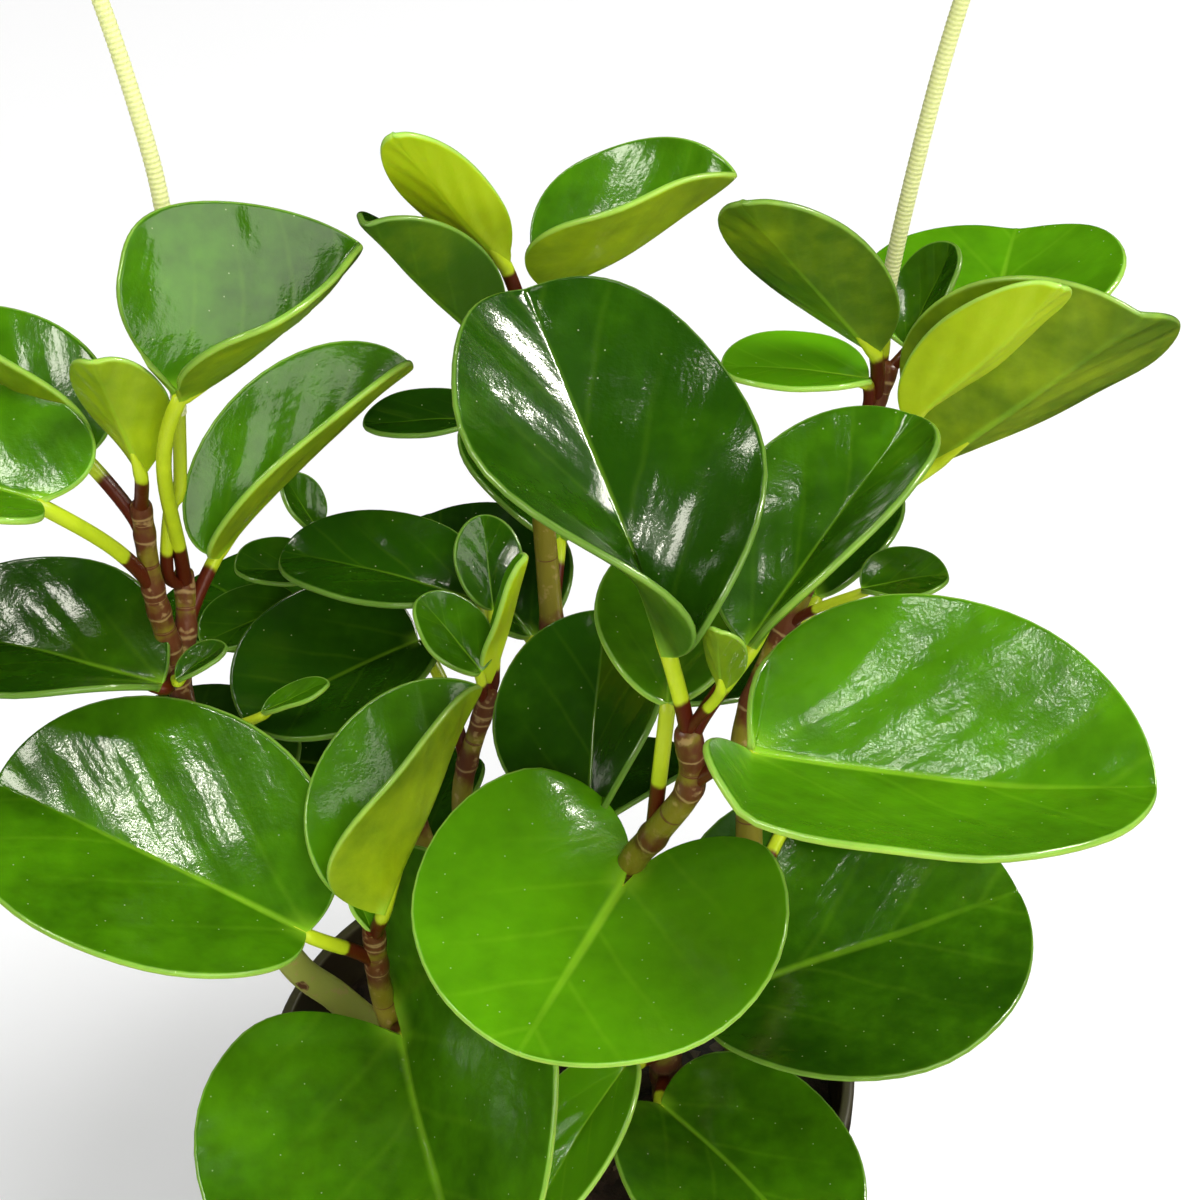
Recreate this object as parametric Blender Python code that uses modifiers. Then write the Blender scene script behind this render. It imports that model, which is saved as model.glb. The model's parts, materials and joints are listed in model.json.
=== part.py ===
"""Potted baby rubber plant, a Blender script that builds every solid piece at its real size.

Pieces: a thin plastic pot, its soil, seven leafy shoots that stand in plain holes in the soil, and
two flower spikes that sit on stalks of the shoots. The origin is the middle of the pot's flat base,
on the surface that it stands on. X runs to the right, Y away from the viewer and Z up.
"""
from dataclasses import dataclass
from math import cos, pi, radians, sin, tan

import bmesh
import bpy
import numpy as np
from mathutils import Vector

# Units and clearances
MM = 0.001
GAP = 0.3 * MM
WELD = 0.02 * MM

# Pot: a thin dark nursery pot with a raised, drained ring in its floor
POT_HEIGHT = 105 * MM
POT_RIM_RADIUS = 60 * MM
POT_FOOT_RADIUS = 43 * MM
POT_WALL = 1.3 * MM
POT_RIM_DEPTH = 8 * MM
POT_RIM_STEP = 1.6 * MM
POT_FLOOR = 1.8 * MM
POT_PAD_RADIUS = 20 * MM
POT_CHANNEL_RADIUS = 36 * MM
POT_CHANNEL_RISE = 3 * MM
POT_RIM_ROUND = 0.7 * MM
POT_FOOT_ROUND = 1.3 * MM
POT_CORNER = 3 * MM
POT_SIDES = 32
DRAIN_COUNT = 6
DRAIN_RADIUS = 4 * MM

# Soil
SOIL_TOP = 92 * MM
SOIL_MOUND = 2.5 * MM
SOIL_LUMP = 0.7 * MM
LUMPS_ROUND = (3, 2)
LUMPS_OUT = (9, -7)
SOIL_RINGS = 6
SOIL_SIDES = 24
STEM_DEPTH = 10 * MM
HOLE_SIDES = 12

# Blades: the cells of their grid, where the ribs start on the midrib, how the roundness of the
# outline follows from the notch, the share of the length that funnels in to the stalk, and the
# breadth of a dent at the tip in degrees
BLADE_THICKNESS = 1.3 * MM
BLADE_ROWS = 7
BLADE_COLUMNS = 4
MIDRIB_SPACING = 1.15
PLAIN_FULL = 0.35
FULL_PER_LOBE = 1 / 140
FUNNEL_REACH = 0.7
FUNNEL_MOST = 1.3
DENT_BREADTH = 14
STRAIGHT = 1e-9

# Stems and leaf stalks: the stalk leaves the stem on a rise, for a share of its own length, turns
# in towards the midrib, and runs on under the blade; small leaves have thin stalks
STEM_STEP = 14 * MM
STEM_ROUND = 2
PETIOLE_RADIUS = 1.5 * MM
PETIOLE_TIP_RADIUS = 0.9 * MM
PETIOLE_SINK = 0.75 * MM
PETIOLE_RISE = 0.5
PETIOLE_LEAVES = 0.35
PETIOLE_ARRIVES = 0.3
PETIOLE_TURN = 0.5
PETIOLE_RUN = 0.08
PETIOLE_STEPS = 3
PETIOLE_ROUND = 1
THINNEST = 0.45
FULL_AT_LENGTH = 33

# Flower spikes: a step of the line is half a ring
SPIKE_RADIUS = 1.4 * MM
SPIKE_TIP_RADIUS = 0.7 * MM
SPIKE_RING_PITCH = 6 * MM
SPIKE_RING_DEPTH = 0.15 * MM
STALK_RADIUS = 1.2 * MM
STALK_STEP = 8 * MM


@dataclass
class Leaf:
    """One leaf: lengths in millimetres and angles in degrees.

    base is where the stalk meets the blade, and node the height where the stalk leaves the stem.
    heading is the turn of the midrib from +X towards +Y and rise its climb. roll lifts the
    left half, fold lifts both halves, funnel folds the base further, cup curls the margins and arch
    bends the midrib down. lobe is the turn from the tip to the notch behind the stalk, more by skew
    on the right and less on the left, and full the roundness of the outline, where less is rounder.
    rear lifts the lobes behind the stalk, and dent is the share by which the tip is notched.
    """
    base: tuple
    node: float
    heading: float
    rise: float
    length: float
    width: float
    roll: float = 0
    fold: float = 8
    funnel: float = 25
    cup: float = 8
    arch: float = 6
    lobe: float = 110
    full: float = 0
    stem: int = 0
    skew: float = 0
    rear: float = 0
    dent: float = 0


@dataclass
class Stem:
    """One stem: the points of its middle line in millimetres, and its thickness at both ends."""
    points: tuple
    base_radius: float
    tip_radius: float


# Shoots: stems first, then leaves from the top of the plant down
SHOOTS = {
    "shoot_front": dict(
        stems=[Stem(((22, -2, 82), (22, -2, 98), (20, -8, 120), (14, -22, 160), (13, -28, 187),
                     (17, -32, 200), (22, -37, 214), (23, -38, 221), (22, -39, 230)), 3.6, 2.2)],
        leaves=[
            Leaf((12, -34, 190), 180, -113, 6, 43, 64, -4, 3, 12, 6, 6, 168, 0.62),
            Leaf((32, -44, 230), 217, -9, -6, 63, 69, 1, 21, 0, 10, -14, 119, 0.76, skew=12, rear=45),
            Leaf((19, -40, 247), 226, 117, 40, 66, 52, 6, 15, 72, 8, 6, 108, dent=0.04),
            Leaf((31, -38, 247), 228, 49, 30, 47, 36, -14, 16, 30, 24, 4, 90),
            Leaf((27, -43, 243), 234, -115, 78, 14, 9, 0, 30, 10, 10, 0, 80),
            Leaf((19, -30, 228), 200, 85, 8, 40, 28, 0, 8, 20, 8, 8, 100),
            Leaf((6, -15, 187), 166, 86, 34, 40, 38, -26, 20, 25, 8, 6, 105),
            Leaf((20, -18, 112), 104, -52, 8, 50, 46, 0, 6, 25, 8, 14, 120),
            Leaf((13, -17, 122), 112, -122, -4, 38, 24, 20, 8, 25, 8, 14, 110),
        ]),
    "shoot_left": dict(
        stems=[Stem(((-32, 12, 82), (-36, 11, 96), (-46, 10, 112), (-55, 8, 127), (-66, 7, 165),
                     (-69, 8, 202), (-71, 8, 222), (-71, 8, 240)), 3.7, 1.8),
               Stem(((-69, 8, 200), (-67, 12, 210), (-67, 16, 219)), 2.2, 1.8)],
        leaves=[
            Leaf((-60, -1, 269), 217, 40, 2, 40, 56, 4, 46, 6, 3, -42, 108, 0.35, stem=1),
            Leaf((-69, 4, 250), 239, -122, 76, 28, 18, 25, 25, 30, 8, 4, 90),
            Leaf((-80, 12, 248), 234, 150, 18, 38, 32, 19, 47, 16, 6, -10, 106, 0.7),
            Leaf((-84, -8, 253), 222, 158, 2, 40, 41, 2, 14, 4, 14, 6, 132, 0.7),
            Leaf((-62, 20, 220), 209, 41, 35, 51, 34, -3, 46, 10, 8, 22, 125, 1.9, stem=1),
            Leaf((-70, 0, 206), 201, 165, 8, 49, 42, 0, 14, 25, 8, 10, 94),
            Leaf((-67, -2, 209), 202, 20, 30, 11, 8, 0, 20, 20, 8, 4, 90),
            Leaf((-54, 5, 195), 184, 10, 24, 14, 7, 0, 15, 20, 8, 4, 80),
            Leaf((-64, 16, 152), 142, 118, 6, 46, 44, 0, 8, 25, 8, 8, 120),
        ]),
    "shoot_front_left": dict(
        stems=[Stem(((-26, -6, 82), (-27, -8, 98), (-30, -12, 118), (-33, -19, 146),
                     (-33, -23, 168)), 3.2, 2.0)],
        leaves=[
            Leaf((-44, -30, 174), 156, 156, 12, 66, 59, -15, 23, 10, 8, 6, 110, 0.95),
            Leaf((-31, -28, 177), 164, 57, 46, 44, 42, -30, 50, 38, 6, 4, 92, 0.5),
            Leaf((-33, -25, 169), 166, 135, 60, 11, 6, 0, 30, 10, 8, 0, 70),
            Leaf((-29, -25, 141), 132, -77, -5, 58, 90, 31, 27, 10, 6, 10, 143, 0.6, skew=-22, rear=16),
        ]),
    "shoot_middle": dict(
        stems=[Stem(((-8, 16, 82), (-9, 16, 98), (-14, 18, 120), (-19, 17, 160),
                     (-13, 16, 190)), 3.0, 1.8)],
        leaves=[
            Leaf((-27, 31, 190), 172, -145, 2, 38, 42, 0, 10, 25, 8, 8, 115),
            Leaf((-15, 30, 201), 184, 168, 12, 39, 30, 0, 12, 25, 8, 8, 100),
            Leaf((-14, 13, 198), 186, 150, 45, 18, 16, 0, 10, 25, 8, 4, 100),
            Leaf((-12, 25, 203), 189, 100, 50, 18, 14, 0, 16, 25, 8, 4, 95),
            Leaf((-13, 18, 191), 184, -8, 76, 32, 13, 0, 22, 10, 8, 0, 80),
        ]),
    "shoot_back": dict(
        stems=[Stem(((2, 34, 82), (2, 35, 98), (1, 40, 130), (-2, 44, 194), (-6, 51, 254)),
                    3.4, 1.8)],
        leaves=[
            Leaf((-9, 50, 263), 250, -130, 54, 45, 15, 40, 10, 10, 8, 0, 70, 0.4),
            Leaf((-2, 52, 257), 248, 0, 22, 41, 42, -8, 38, 15, 6, -24, 100, 0.6),
            Leaf((-12, 45, 249), 240, -135, 53, 45, 24, 18, 40, 15, 8, 0, 80),
            Leaf((-13, 50, 229), 218, -165, 10, 24, 16, 0, 12, 25, 8, 8, 95),
            Leaf((0, 56, 196), 184, 88, 8, 50, 46, 0, 10, 25, 8, 10, 115),
            Leaf((-6, 52, 174), 160, 122, 8, 44, 38, 0, 10, 25, 8, 10, 112),
            Leaf((10, 48, 158), 146, 38, 2, 44, 42, 0, 10, 25, 8, 10, 115),
            Leaf((4, 50, 122), 112, 82, -8, 44, 44, 0, 8, 25, 8, 14, 120),
        ]),
    "shoot_right": dict(
        stems=[Stem(((36, 6, 82), (37, 7, 98), (38, 8, 120), (37, 13, 160), (36, 19, 180),
                     (47, 29, 208), (60, 39, 248)), 3.4, 1.8)],
        leaves=[
            Leaf((57, 35, 254), 242, -150, 52, 49, 25, 38, 10, 15, 8, 0, 80),
            Leaf((63, 40, 252), 246, 34, 62, 20, 17, -14, 14, 25, 8, 0, 90),
            Leaf((79, 55, 236), 226, 73, 18, 40, 54, -14, 10, 20, 8, 4, 118, dent=0.05),
            Leaf((70, 38, 228), 212, -36, 52, 57, 50, -46, 20, 6, 6, 0, 66, 0.5),
            Leaf((62, 25, 246), 232, -40, 55, 46, 20, -38, 24, 10, 6, 0, 80),
            Leaf((56, 35, 248), 236, -175, 12, 27, 20, 0, 10, 20, 8, 6, 100),
            Leaf((56, 20, 212), 198, 0, 15, 16, 16, 0, 12, 25, 8, 6, 105),
            Leaf((30, -8, 131), 118, 14, 16, 64, 75, 5, 8, 20, 8, 6, 122),
            Leaf((50, 40, 194), 184, 96, 6, 46, 44, 0, 10, 25, 8, 10, 115),
            Leaf((46, 24, 150), 138, 42, 2, 44, 42, 0, 10, 25, 8, 10, 115),
        ]),
    "shoot_back_left": dict(
        stems=[Stem(((-22, 32, 82), (-23, 33, 98), (-30, 40, 130), (-46, 48, 184)), 3.0, 1.8)],
        leaves=[
            Leaf((-47, 50, 192), 180, -160, 20, 18, 17, 0, 14, 20, 8, 6, 95),
            Leaf((-48, 55, 199), 183, 160, 60, 13, 12, 0, 14, 20, 8, 0, 95),
            Leaf((-51, 45, 188), 176, -145, 5, 22, 18, 0, 12, 20, 8, 8, 95),
            Leaf((-48, 54, 166), 156, 136, 2, 44, 42, 0, 10, 25, 8, 10, 115),
            Leaf((-42, 44, 144), 134, 172, 4, 42, 42, 0, 10, 25, 8, 10, 115),
            Leaf((-30, 48, 118), 108, 112, -8, 42, 42, 0, 8, 25, 8, 12, 118),
        ]),
}

# Flower spikes: the shoot and stem each grows on, the height where its stalk leaves the stem, the
# stalk's middle line, and that of the spike from its seat on the stalk to its blunt tip, in millimetres
SPIKES = {
    "flower_spike_left": dict(
        shoot="shoot_left", stem=1, node=217,
        stalk=((-69, 12, 222), (-67, 12, 236), (-65, 13, 240), (-64, 16, 254)),
        line=((-64, 16, 254), (-64, 25, 283), (-67, 28, 306), (-74, 31, 335), (-86, 33, 370))),
    "flower_spike_right": dict(
        shoot="shoot_right", stem=0, node=238,
        stalk=((59, 41, 250), (58, 39, 259)),
        line=((58, 39, 259), (60, 37, 281), (64, 36, 310), (69, 35, 335), (76, 36, 362))),
}

# Creases sharper than this stay crisp when a piece is shaded smooth
CREASE = 40

# Colour (linear) and roughness of each kind of piece
LOOKS = {
    "pot": ((0.012, 0.010, 0.009), 0.45),
    "soil": ((0.020, 0.013, 0.009), 0.95),
    "foliage": ((0.045, 0.180, 0.014), 0.30),
    "spike": ((0.430, 0.480, 0.150), 0.55),
}


def material(name):
    """A Principled BSDF with the colour and roughness of one kind of piece."""
    found = bpy.data.materials.get(name)
    if found:
        return found
    made = bpy.data.materials.new(name)
    made.use_nodes = True
    shader = made.node_tree.nodes["Principled BSDF"]
    colour, roughness = LOOKS[name]
    shader.inputs["Base Color"].default_value = (*colour, 1)
    shader.inputs["Roughness"].default_value = roughness
    shader.inputs["Metallic"].default_value = 0
    return made


def add_object(name, mesh, collection, look=None):
    """Puts a mesh into a collection as an object, with its material."""
    made = bpy.data.objects.new(name, mesh)
    collection.objects.link(made)
    if look:
        mesh.materials.clear()
        mesh.materials.append(material(look))
    return made


def remove_object(gone):
    """Removes an object with the mesh or curve that it holds."""
    data = gone.data
    bpy.data.objects.remove(gone)
    if isinstance(data, bpy.types.Mesh):
        bpy.data.meshes.remove(data)
    else:
        bpy.data.curves.remove(data)


def baked(source):
    """The mesh of an object with its modifiers or bevel applied, and its loose caps welded."""
    bpy.context.view_layer.update()
    graph = bpy.context.evaluated_depsgraph_get()
    mesh = bpy.data.meshes.new_from_object(source.evaluated_get(graph))
    work = bmesh.new()
    work.from_mesh(mesh)
    bmesh.ops.remove_doubles(work, verts=work.verts, dist=WELD)
    bmesh.ops.dissolve_degenerate(work, edges=work.edges, dist=WELD)
    work.to_mesh(mesh)
    work.free()
    mesh.transform(source.matrix_world)
    return mesh


def smooth_line(points, step):
    """Points about a step apart on the smooth curve through a few given points (Catmull-Rom)."""
    given = [Vector(point) * MM for point in points]
    padded = [2 * given[0] - given[1], *given, 2 * given[-1] - given[-2]]
    line = []
    for a, b, c, d in zip(padded, padded[1:], padded[2:], padded[3:]):
        count = max(1, round((c - b).length / step))
        for index in range(count):
            t = index / count
            line.append(0.5 * (2 * b + (c - a) * t + (2 * a - 5 * b + 4 * c - d) * t * t
                               + (3 * b - a - 3 * c + d) * t ** 3))
    line.append(given[-1])
    return line


def point_at_height(line, height):
    """The point of a rising line at a height."""
    for low, high in zip(line, line[1:]):
        if low.z <= height <= high.z:
            return low.lerp(high, (height - low.z) / (high.z - low.z))
    return line[-1].copy() if height > line[-1].z else line[0].copy()


def tube(name, line, radii, collection, resolution):
    """A round tube along a line, closed at both ends, as a mesh object."""
    curve = bpy.data.curves.new(name, "CURVE")
    curve.dimensions = "3D"
    curve.bevel_depth = 1.0
    curve.bevel_resolution = resolution
    curve.use_fill_caps = True
    spline = curve.splines.new("POLY")
    spline.points.add(len(line) - 1)
    for place, point, radius in zip(spline.points, line, radii):
        place.co = (*point, 1)
        place.radius = radius
    guide = add_object(name, curve, collection)
    mesh = baked(guide)
    remove_object(guide)
    return add_object(name, mesh, collection)


def leaf_axes(leaf):
    """Unit vectors of a leaf: along the midrib, out to the left and out of the upper face."""
    heading, rise, roll = radians(leaf.heading), radians(leaf.rise), radians(leaf.roll)
    along = Vector((cos(heading) * cos(rise), sin(heading) * cos(rise), sin(rise)))
    level = Vector((-sin(heading), cos(heading), 0))
    steep = along.cross(level)
    left = level * cos(roll) + steep * sin(roll)
    return np.array(along), np.array(left), np.array(along.cross(left))


def leaf_outline(leaf, q, side):
    """Margin of a leaf from the notch (q = 0) to the tip (q = 1), along and across the midrib.

    side is 1 on the left and -1 on the right.
    In polar form about the stalk, the radius is length * cos(turn * 90 / lobe) ** full, less a dent
    round the tip, and the breadth is scaled so that the widest place measures the leaf's width.
    """
    power = leaf.full or PLAIN_FULL + leaf.lobe * FULL_PER_LOBE

    def polar(part, lobe):
        turn = np.radians(lobe) * (1 - part)
        reach = np.maximum(np.cos((1 - part) * pi / 2), 0) ** power
        reach = reach * (1 - leaf.dent * np.exp(-(turn / radians(DENT_BREADTH)) ** 2))
        return reach * np.cos(turn), reach * np.sin(turn)

    widest = polar(np.linspace(0, 1, 200), leaf.lobe)[1].max()
    along, across = polar(q, leaf.lobe - leaf.skew * side)
    return along * leaf.length, across * leaf.width / 2 / widest


def blade_points(leaf, q, v):
    """Places on the middle surface of a blade, for q from notch to tip and v from -1 to 1 across.

    Straight ribs join the midrib to the outline. The midrib bends down along an arc, and each half
    rises by the fold angle and curls up towards its margin.
    """
    margin_along, margin_across = leaf_outline(leaf, q, np.sign(v))
    along = leaf.length * (1 - leaf.dent) * q ** MIDRIB_SPACING
    along = along + (margin_along - along) * np.abs(v)
    across = np.abs(margin_across * v)
    bend = radians(leaf.arch) / leaf.length + STRAIGHT
    ahead = np.maximum(along, 0)
    turn = bend * ahead
    run = np.where(along > 0, np.sin(turn) / bend, along)
    drop = (1 - np.cos(turn)) / bend
    towards_base = np.clip(1 - along / leaf.length / FUNNEL_REACH, 0, FUNNEL_MOST) ** 2
    lift = np.radians(leaf.fold + leaf.funnel * towards_base)
    curl = radians(leaf.cup) / (leaf.width / 2)
    out = (np.sin(lift + curl * across) - np.sin(lift)) / curl
    up = (np.cos(lift) - np.cos(lift + curl * across)) / curl
    forward, left, normal = leaf_axes(leaf)
    tilted = normal * np.cos(turn)[..., None] + forward * np.sin(turn)[..., None]
    rise = np.maximum(-along, 0) * tan(radians(leaf.rear)) - drop
    place = run[..., None] * forward + rise[..., None] * normal
    place = place + (np.sign(v) * out)[..., None] * left + up[..., None] * tilted
    return (np.array(leaf.base) + place) * MM


def blade(name, leaf, collection):
    """A blade: a grid bent into the leaf's middle surface, cut into triangles and thickened."""
    work = bmesh.new()
    bmesh.ops.create_grid(work, x_segments=BLADE_ROWS, y_segments=BLADE_COLUMNS, size=0.5)
    grid = np.array([vert.co for vert in work.verts])
    places = blade_points(leaf, grid[:, 0] + 0.5, grid[:, 1] * 2)
    for vert, place in zip(work.verts, places):
        vert.co = place
    bmesh.ops.remove_doubles(work, verts=work.verts, dist=WELD)
    bmesh.ops.triangulate(work, faces=work.faces, quad_method="SHORT_EDGE")
    bmesh.ops.recalc_face_normals(work, faces=work.faces)
    sheet = bpy.data.meshes.new(name)
    work.to_mesh(sheet)
    work.free()
    guide = add_object(name, sheet, collection)
    solid = guide.modifiers.new("thickness", "SOLIDIFY")
    solid.thickness = BLADE_THICKNESS
    solid.offset = 0
    mesh = baked(guide)
    remove_object(guide)
    add_object(name, mesh, collection)


def petiole(name, leaf, line, collection):
    """A leaf stalk: from the stem's middle along a smooth arc into the underside of the blade."""
    start = point_at_height(line, leaf.node * MM)
    forward, _, normal = (Vector(axis) for axis in leaf_axes(leaf))
    base = Vector(leaf.base) * MM - normal * PETIOLE_SINK
    reach = (base - start).length
    direct = (base - start).normalized()
    outward = (direct + Vector((0, 0, PETIOLE_RISE))).normalized()
    leave = start + outward * reach * PETIOLE_LEAVES
    inward = (forward * PETIOLE_TURN + direct).normalized()
    arrive = base - inward * reach * PETIOLE_ARRIVES
    path = []
    for index in range(PETIOLE_STEPS + 1):
        t = index / PETIOLE_STEPS
        path.append(start * (1 - t) ** 3 + leave * 3 * t * (1 - t) ** 2
                    + arrive * 3 * t * t * (1 - t) + base * t ** 3)
    path.append(base + forward * leaf.length * MM * PETIOLE_RUN)
    slender = min(1, THINNEST + (1 - THINNEST) * leaf.length / FULL_AT_LENGTH)
    radii = [PETIOLE_RADIUS * slender] * (PETIOLE_STEPS + 1) + [PETIOLE_TIP_RADIUS * slender]
    tube(name, path, radii, collection, PETIOLE_ROUND)


def fused(main, extras):
    """Joins the objects of a collection to one object by a Boolean union, then removes them.

    The solver is MANIFOLD, because EXACT leaves an edge open on the front shoot.
    """
    union = main.modifiers.new("fused", "BOOLEAN")
    union.operation = "UNION"
    union.operand_type = "COLLECTION"
    union.collection = extras
    union.solver = "MANIFOLD"
    mesh = baked(main)
    main.modifiers.clear()
    old = main.data
    main.data = mesh
    bpy.data.meshes.remove(old)
    for extra in list(extras.objects):
        remove_object(extra)
    bpy.data.collections.remove(extras)


def stem_lines(shoot):
    """The smooth middle lines of a shoot's stems."""
    return [smooth_line(stem.points, STEM_STEP) for stem in shoot["stems"]]


def make_shoot(name, shoot, parts):
    """A leafy shoot: stems, leaf stalks, blades and spike stalks, fused into one solid."""
    extras = bpy.data.collections.new(name + "_repeats")
    parts.children.link(extras)
    lines = stem_lines(shoot)
    main = None
    for index, (stem, line) in enumerate(zip(shoot["stems"], lines)):
        spread = np.linspace(stem.base_radius, stem.tip_radius, len(line)) * MM
        made = tube(f"{name}_stem_{index}", line, spread, extras if index else parts,
                    STEM_ROUND)
        main = main or made
    for index, leaf in enumerate(shoot["leaves"]):
        blade(f"{name}_blade_{index}", leaf, extras)
        petiole(f"{name}_petiole_{index}", leaf, lines[leaf.stem], extras)
    for spike_name, spike in SPIKES.items():
        if spike["shoot"] == name:
            foot = point_at_height(lines[spike["stem"]], spike["node"] * MM) / MM
            stalk = smooth_line((foot, *spike["stalk"]), STALK_STEP)
            tube(spike_name + "_stalk", stalk, [STALK_RADIUS] * len(stalk), extras,
                 PETIOLE_ROUND)
    fused(main, extras)
    main.name = name
    main.data.name = name
    main.data.materials.clear()
    main.data.materials.append(material("foliage"))


def make_spike(name, spike, parts):
    """A flower spike: a slim rod with low rings and a blunt tip, seated on its stalk's end."""
    line = smooth_line(spike["line"], SPIKE_RING_PITCH / 2)
    seat = (line[1] - line[0]).normalized() * GAP
    line[0] = line[0] + seat
    radii = [SPIKE_RADIUS - SPIKE_RING_DEPTH * (index % 2) for index in range(len(line))]
    radii[-1] = SPIKE_TIP_RADIUS
    made = tube(name, line, radii, parts, STEM_ROUND)
    made.data.materials.append(material("spike"))


def turned(name, profile, sides, collection, look=None):
    """A solid turned about Z from a profile of radius and height, from the axis up, out and down."""
    mesh = bpy.data.meshes.new(name)
    places = [(radius, 0, height) for radius, height in profile]
    edges = [(index, index + 1) for index in range(len(profile) - 1)]
    mesh.from_pydata(places, edges, [])
    made = add_object(name, mesh, collection, look)
    screw = made.modifiers.new("turned", "SCREW")
    screw.steps = sides
    screw.render_steps = sides
    screw.use_merge_vertices = True
    screw.merge_threshold = WELD
    return made


def cut(target, cutter):
    """Cuts one object with another by a Boolean difference."""
    difference = target.modifiers.new("cut", "BOOLEAN")
    difference.operation = "DIFFERENCE"
    difference.object = cutter
    cutter.hide_render = True
    cutter.display_type = "WIRE"


def wall_radius(height):
    """Outer radius of the pot's plain wall at a height."""
    top = POT_RIM_RADIUS - POT_RIM_STEP
    return POT_FOOT_RADIUS + (top - POT_FOOT_RADIUS) * height / (POT_HEIGHT - POT_RIM_DEPTH)


def make_pot(parts, cutters):
    """The pot: floor with a middle pad and a raised drained ring, tapered wall and turned rim.

    The profile runs out along the inner side and up to the rim, then down the outer side and in.
    """
    rim_low = POT_HEIGHT - POT_RIM_DEPTH
    rim_inner = POT_RIM_RADIUS - POT_RIM_STEP - POT_WALL + POT_RIM_ROUND / 2
    slope = POT_CHANNEL_RISE
    pad_top = POT_PAD_RADIUS - POT_FLOOR / 2
    ring_top = POT_CHANNEL_RADIUS + POT_FLOOR / 2
    profile = [
        (0, POT_FLOOR),
        (pad_top, POT_FLOOR),
        (pad_top + slope, POT_CHANNEL_RISE + POT_FLOOR),
        (ring_top - slope, POT_CHANNEL_RISE + POT_FLOOR),
        (ring_top, POT_FLOOR),
        (wall_radius(0) - POT_WALL, POT_FLOOR),
        (wall_radius(POT_CORNER) - POT_WALL, POT_CORNER),
        (wall_radius(rim_low) - POT_WALL, rim_low),
        (rim_inner, POT_HEIGHT - POT_RIM_ROUND),
        (rim_inner + POT_RIM_ROUND / 2, POT_HEIGHT),
        (POT_RIM_RADIUS - POT_RIM_ROUND, POT_HEIGHT),
        (POT_RIM_RADIUS, POT_HEIGHT - POT_RIM_ROUND),
        (POT_RIM_RADIUS, rim_low + POT_RIM_ROUND),
        (wall_radius(rim_low), rim_low),
        (wall_radius(POT_FOOT_ROUND), POT_FOOT_ROUND),
        (POT_FOOT_RADIUS - POT_FOOT_ROUND, 0),
        (POT_CHANNEL_RADIUS, 0),
        (POT_CHANNEL_RADIUS - slope, POT_CHANNEL_RISE),
        (POT_PAD_RADIUS + slope, POT_CHANNEL_RISE),
        (POT_PAD_RADIUS, 0),
        (0, 0),
    ]
    pot = turned("pot", profile, POT_SIDES, parts, "pot")
    drain_circle = (POT_PAD_RADIUS + POT_CHANNEL_RADIUS) / 2
    for index in range(DRAIN_COUNT):
        turn = 2 * pi * index / DRAIN_COUNT
        hole = bpy.data.meshes.new(f"drain_{index}")
        work = bmesh.new()
        bmesh.ops.create_cone(work, cap_ends=True, segments=HOLE_SIDES, radius1=DRAIN_RADIUS,
                              radius2=DRAIN_RADIUS, depth=4 * POT_FLOOR)
        work.to_mesh(hole)
        work.free()
        cutter = add_object(f"drain_{index}", hole, cutters)
        cutter.location = (drain_circle * cos(turn), drain_circle * sin(turn),
                           POT_CHANNEL_RISE + POT_FLOOR / 2)
        cut(pot, cutter)


def soil_height(radius, turn):
    """Height of the soil's surface: a low mound with broad lumps."""
    part = radius / wall_radius(SOIL_TOP)
    first = np.sin(LUMPS_ROUND[0] * turn + LUMPS_OUT[0] * part)
    second = np.cos(LUMPS_ROUND[1] * turn + LUMPS_OUT[1] * part)
    lumps = first * second * np.sin(pi * part)
    return SOIL_TOP + SOIL_MOUND * (1 - part * part) + SOIL_LUMP * lumps


def make_soil(parts, cutters):
    """The soil: it fills the pot to a little under the rim, with a plain hole for each stem."""
    bottom = POT_CHANNEL_RISE + POT_FLOOR + GAP
    top_radius = wall_radius(SOIL_TOP) - POT_WALL - GAP
    profile = [(top_radius * ring / SOIL_RINGS, SOIL_TOP) for ring in range(SOIL_RINGS + 1)]
    profile.append((wall_radius(bottom) - POT_WALL - GAP, bottom))
    profile.append((0, bottom))
    guide = turned("soil", profile, SOIL_SIDES, parts)
    mesh = baked(guide)
    remove_object(guide)
    for vert in mesh.vertices:
        if abs(vert.co.z - SOIL_TOP) < WELD:
            radius = Vector(vert.co[:2]).length
            turn = np.arctan2(vert.co.y, vert.co.x)
            vert.co.z = soil_height(radius, turn)
    soil = add_object("soil", mesh, parts, "soil")
    for name, shoot in SHOOTS.items():
        stem = shoot["stems"][0]
        low = Vector(stem.points[0]) * MM
        high = Vector(stem.points[1]) * MM
        axis = (high - low).normalized()
        wide = stem.base_radius * MM + GAP
        foot = low - axis * GAP
        top = low + axis * 2 * STEM_DEPTH
        hole = tube(name + "_hole", [foot, top], [wide, wide], cutters, STEM_ROUND + 1)
        cut(soil, hole)


def shade(parts):
    """Shades every finished piece smooth with crisp creases."""
    for made in parts.objects:
        made.data.shade_smooth()
        made.data.set_sharp_from_angle(angle=radians(CREASE))


def main():
    """Builds every piece."""
    for old in list(bpy.data.objects):
        bpy.data.objects.remove(old)
    parts = bpy.data.collections.new("potted_baby_rubber_plant")
    cutters = bpy.data.collections.new("cutters")
    bpy.context.scene.collection.children.link(parts)
    bpy.context.scene.collection.children.link(cutters)
    make_pot(parts, cutters)
    make_soil(parts, cutters)
    for name, shoot in SHOOTS.items():
        make_shoot(name, shoot, parts)
    for name, spike in SPIKES.items():
        make_spike(name, spike, parts)
    shade(parts)


main()
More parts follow.
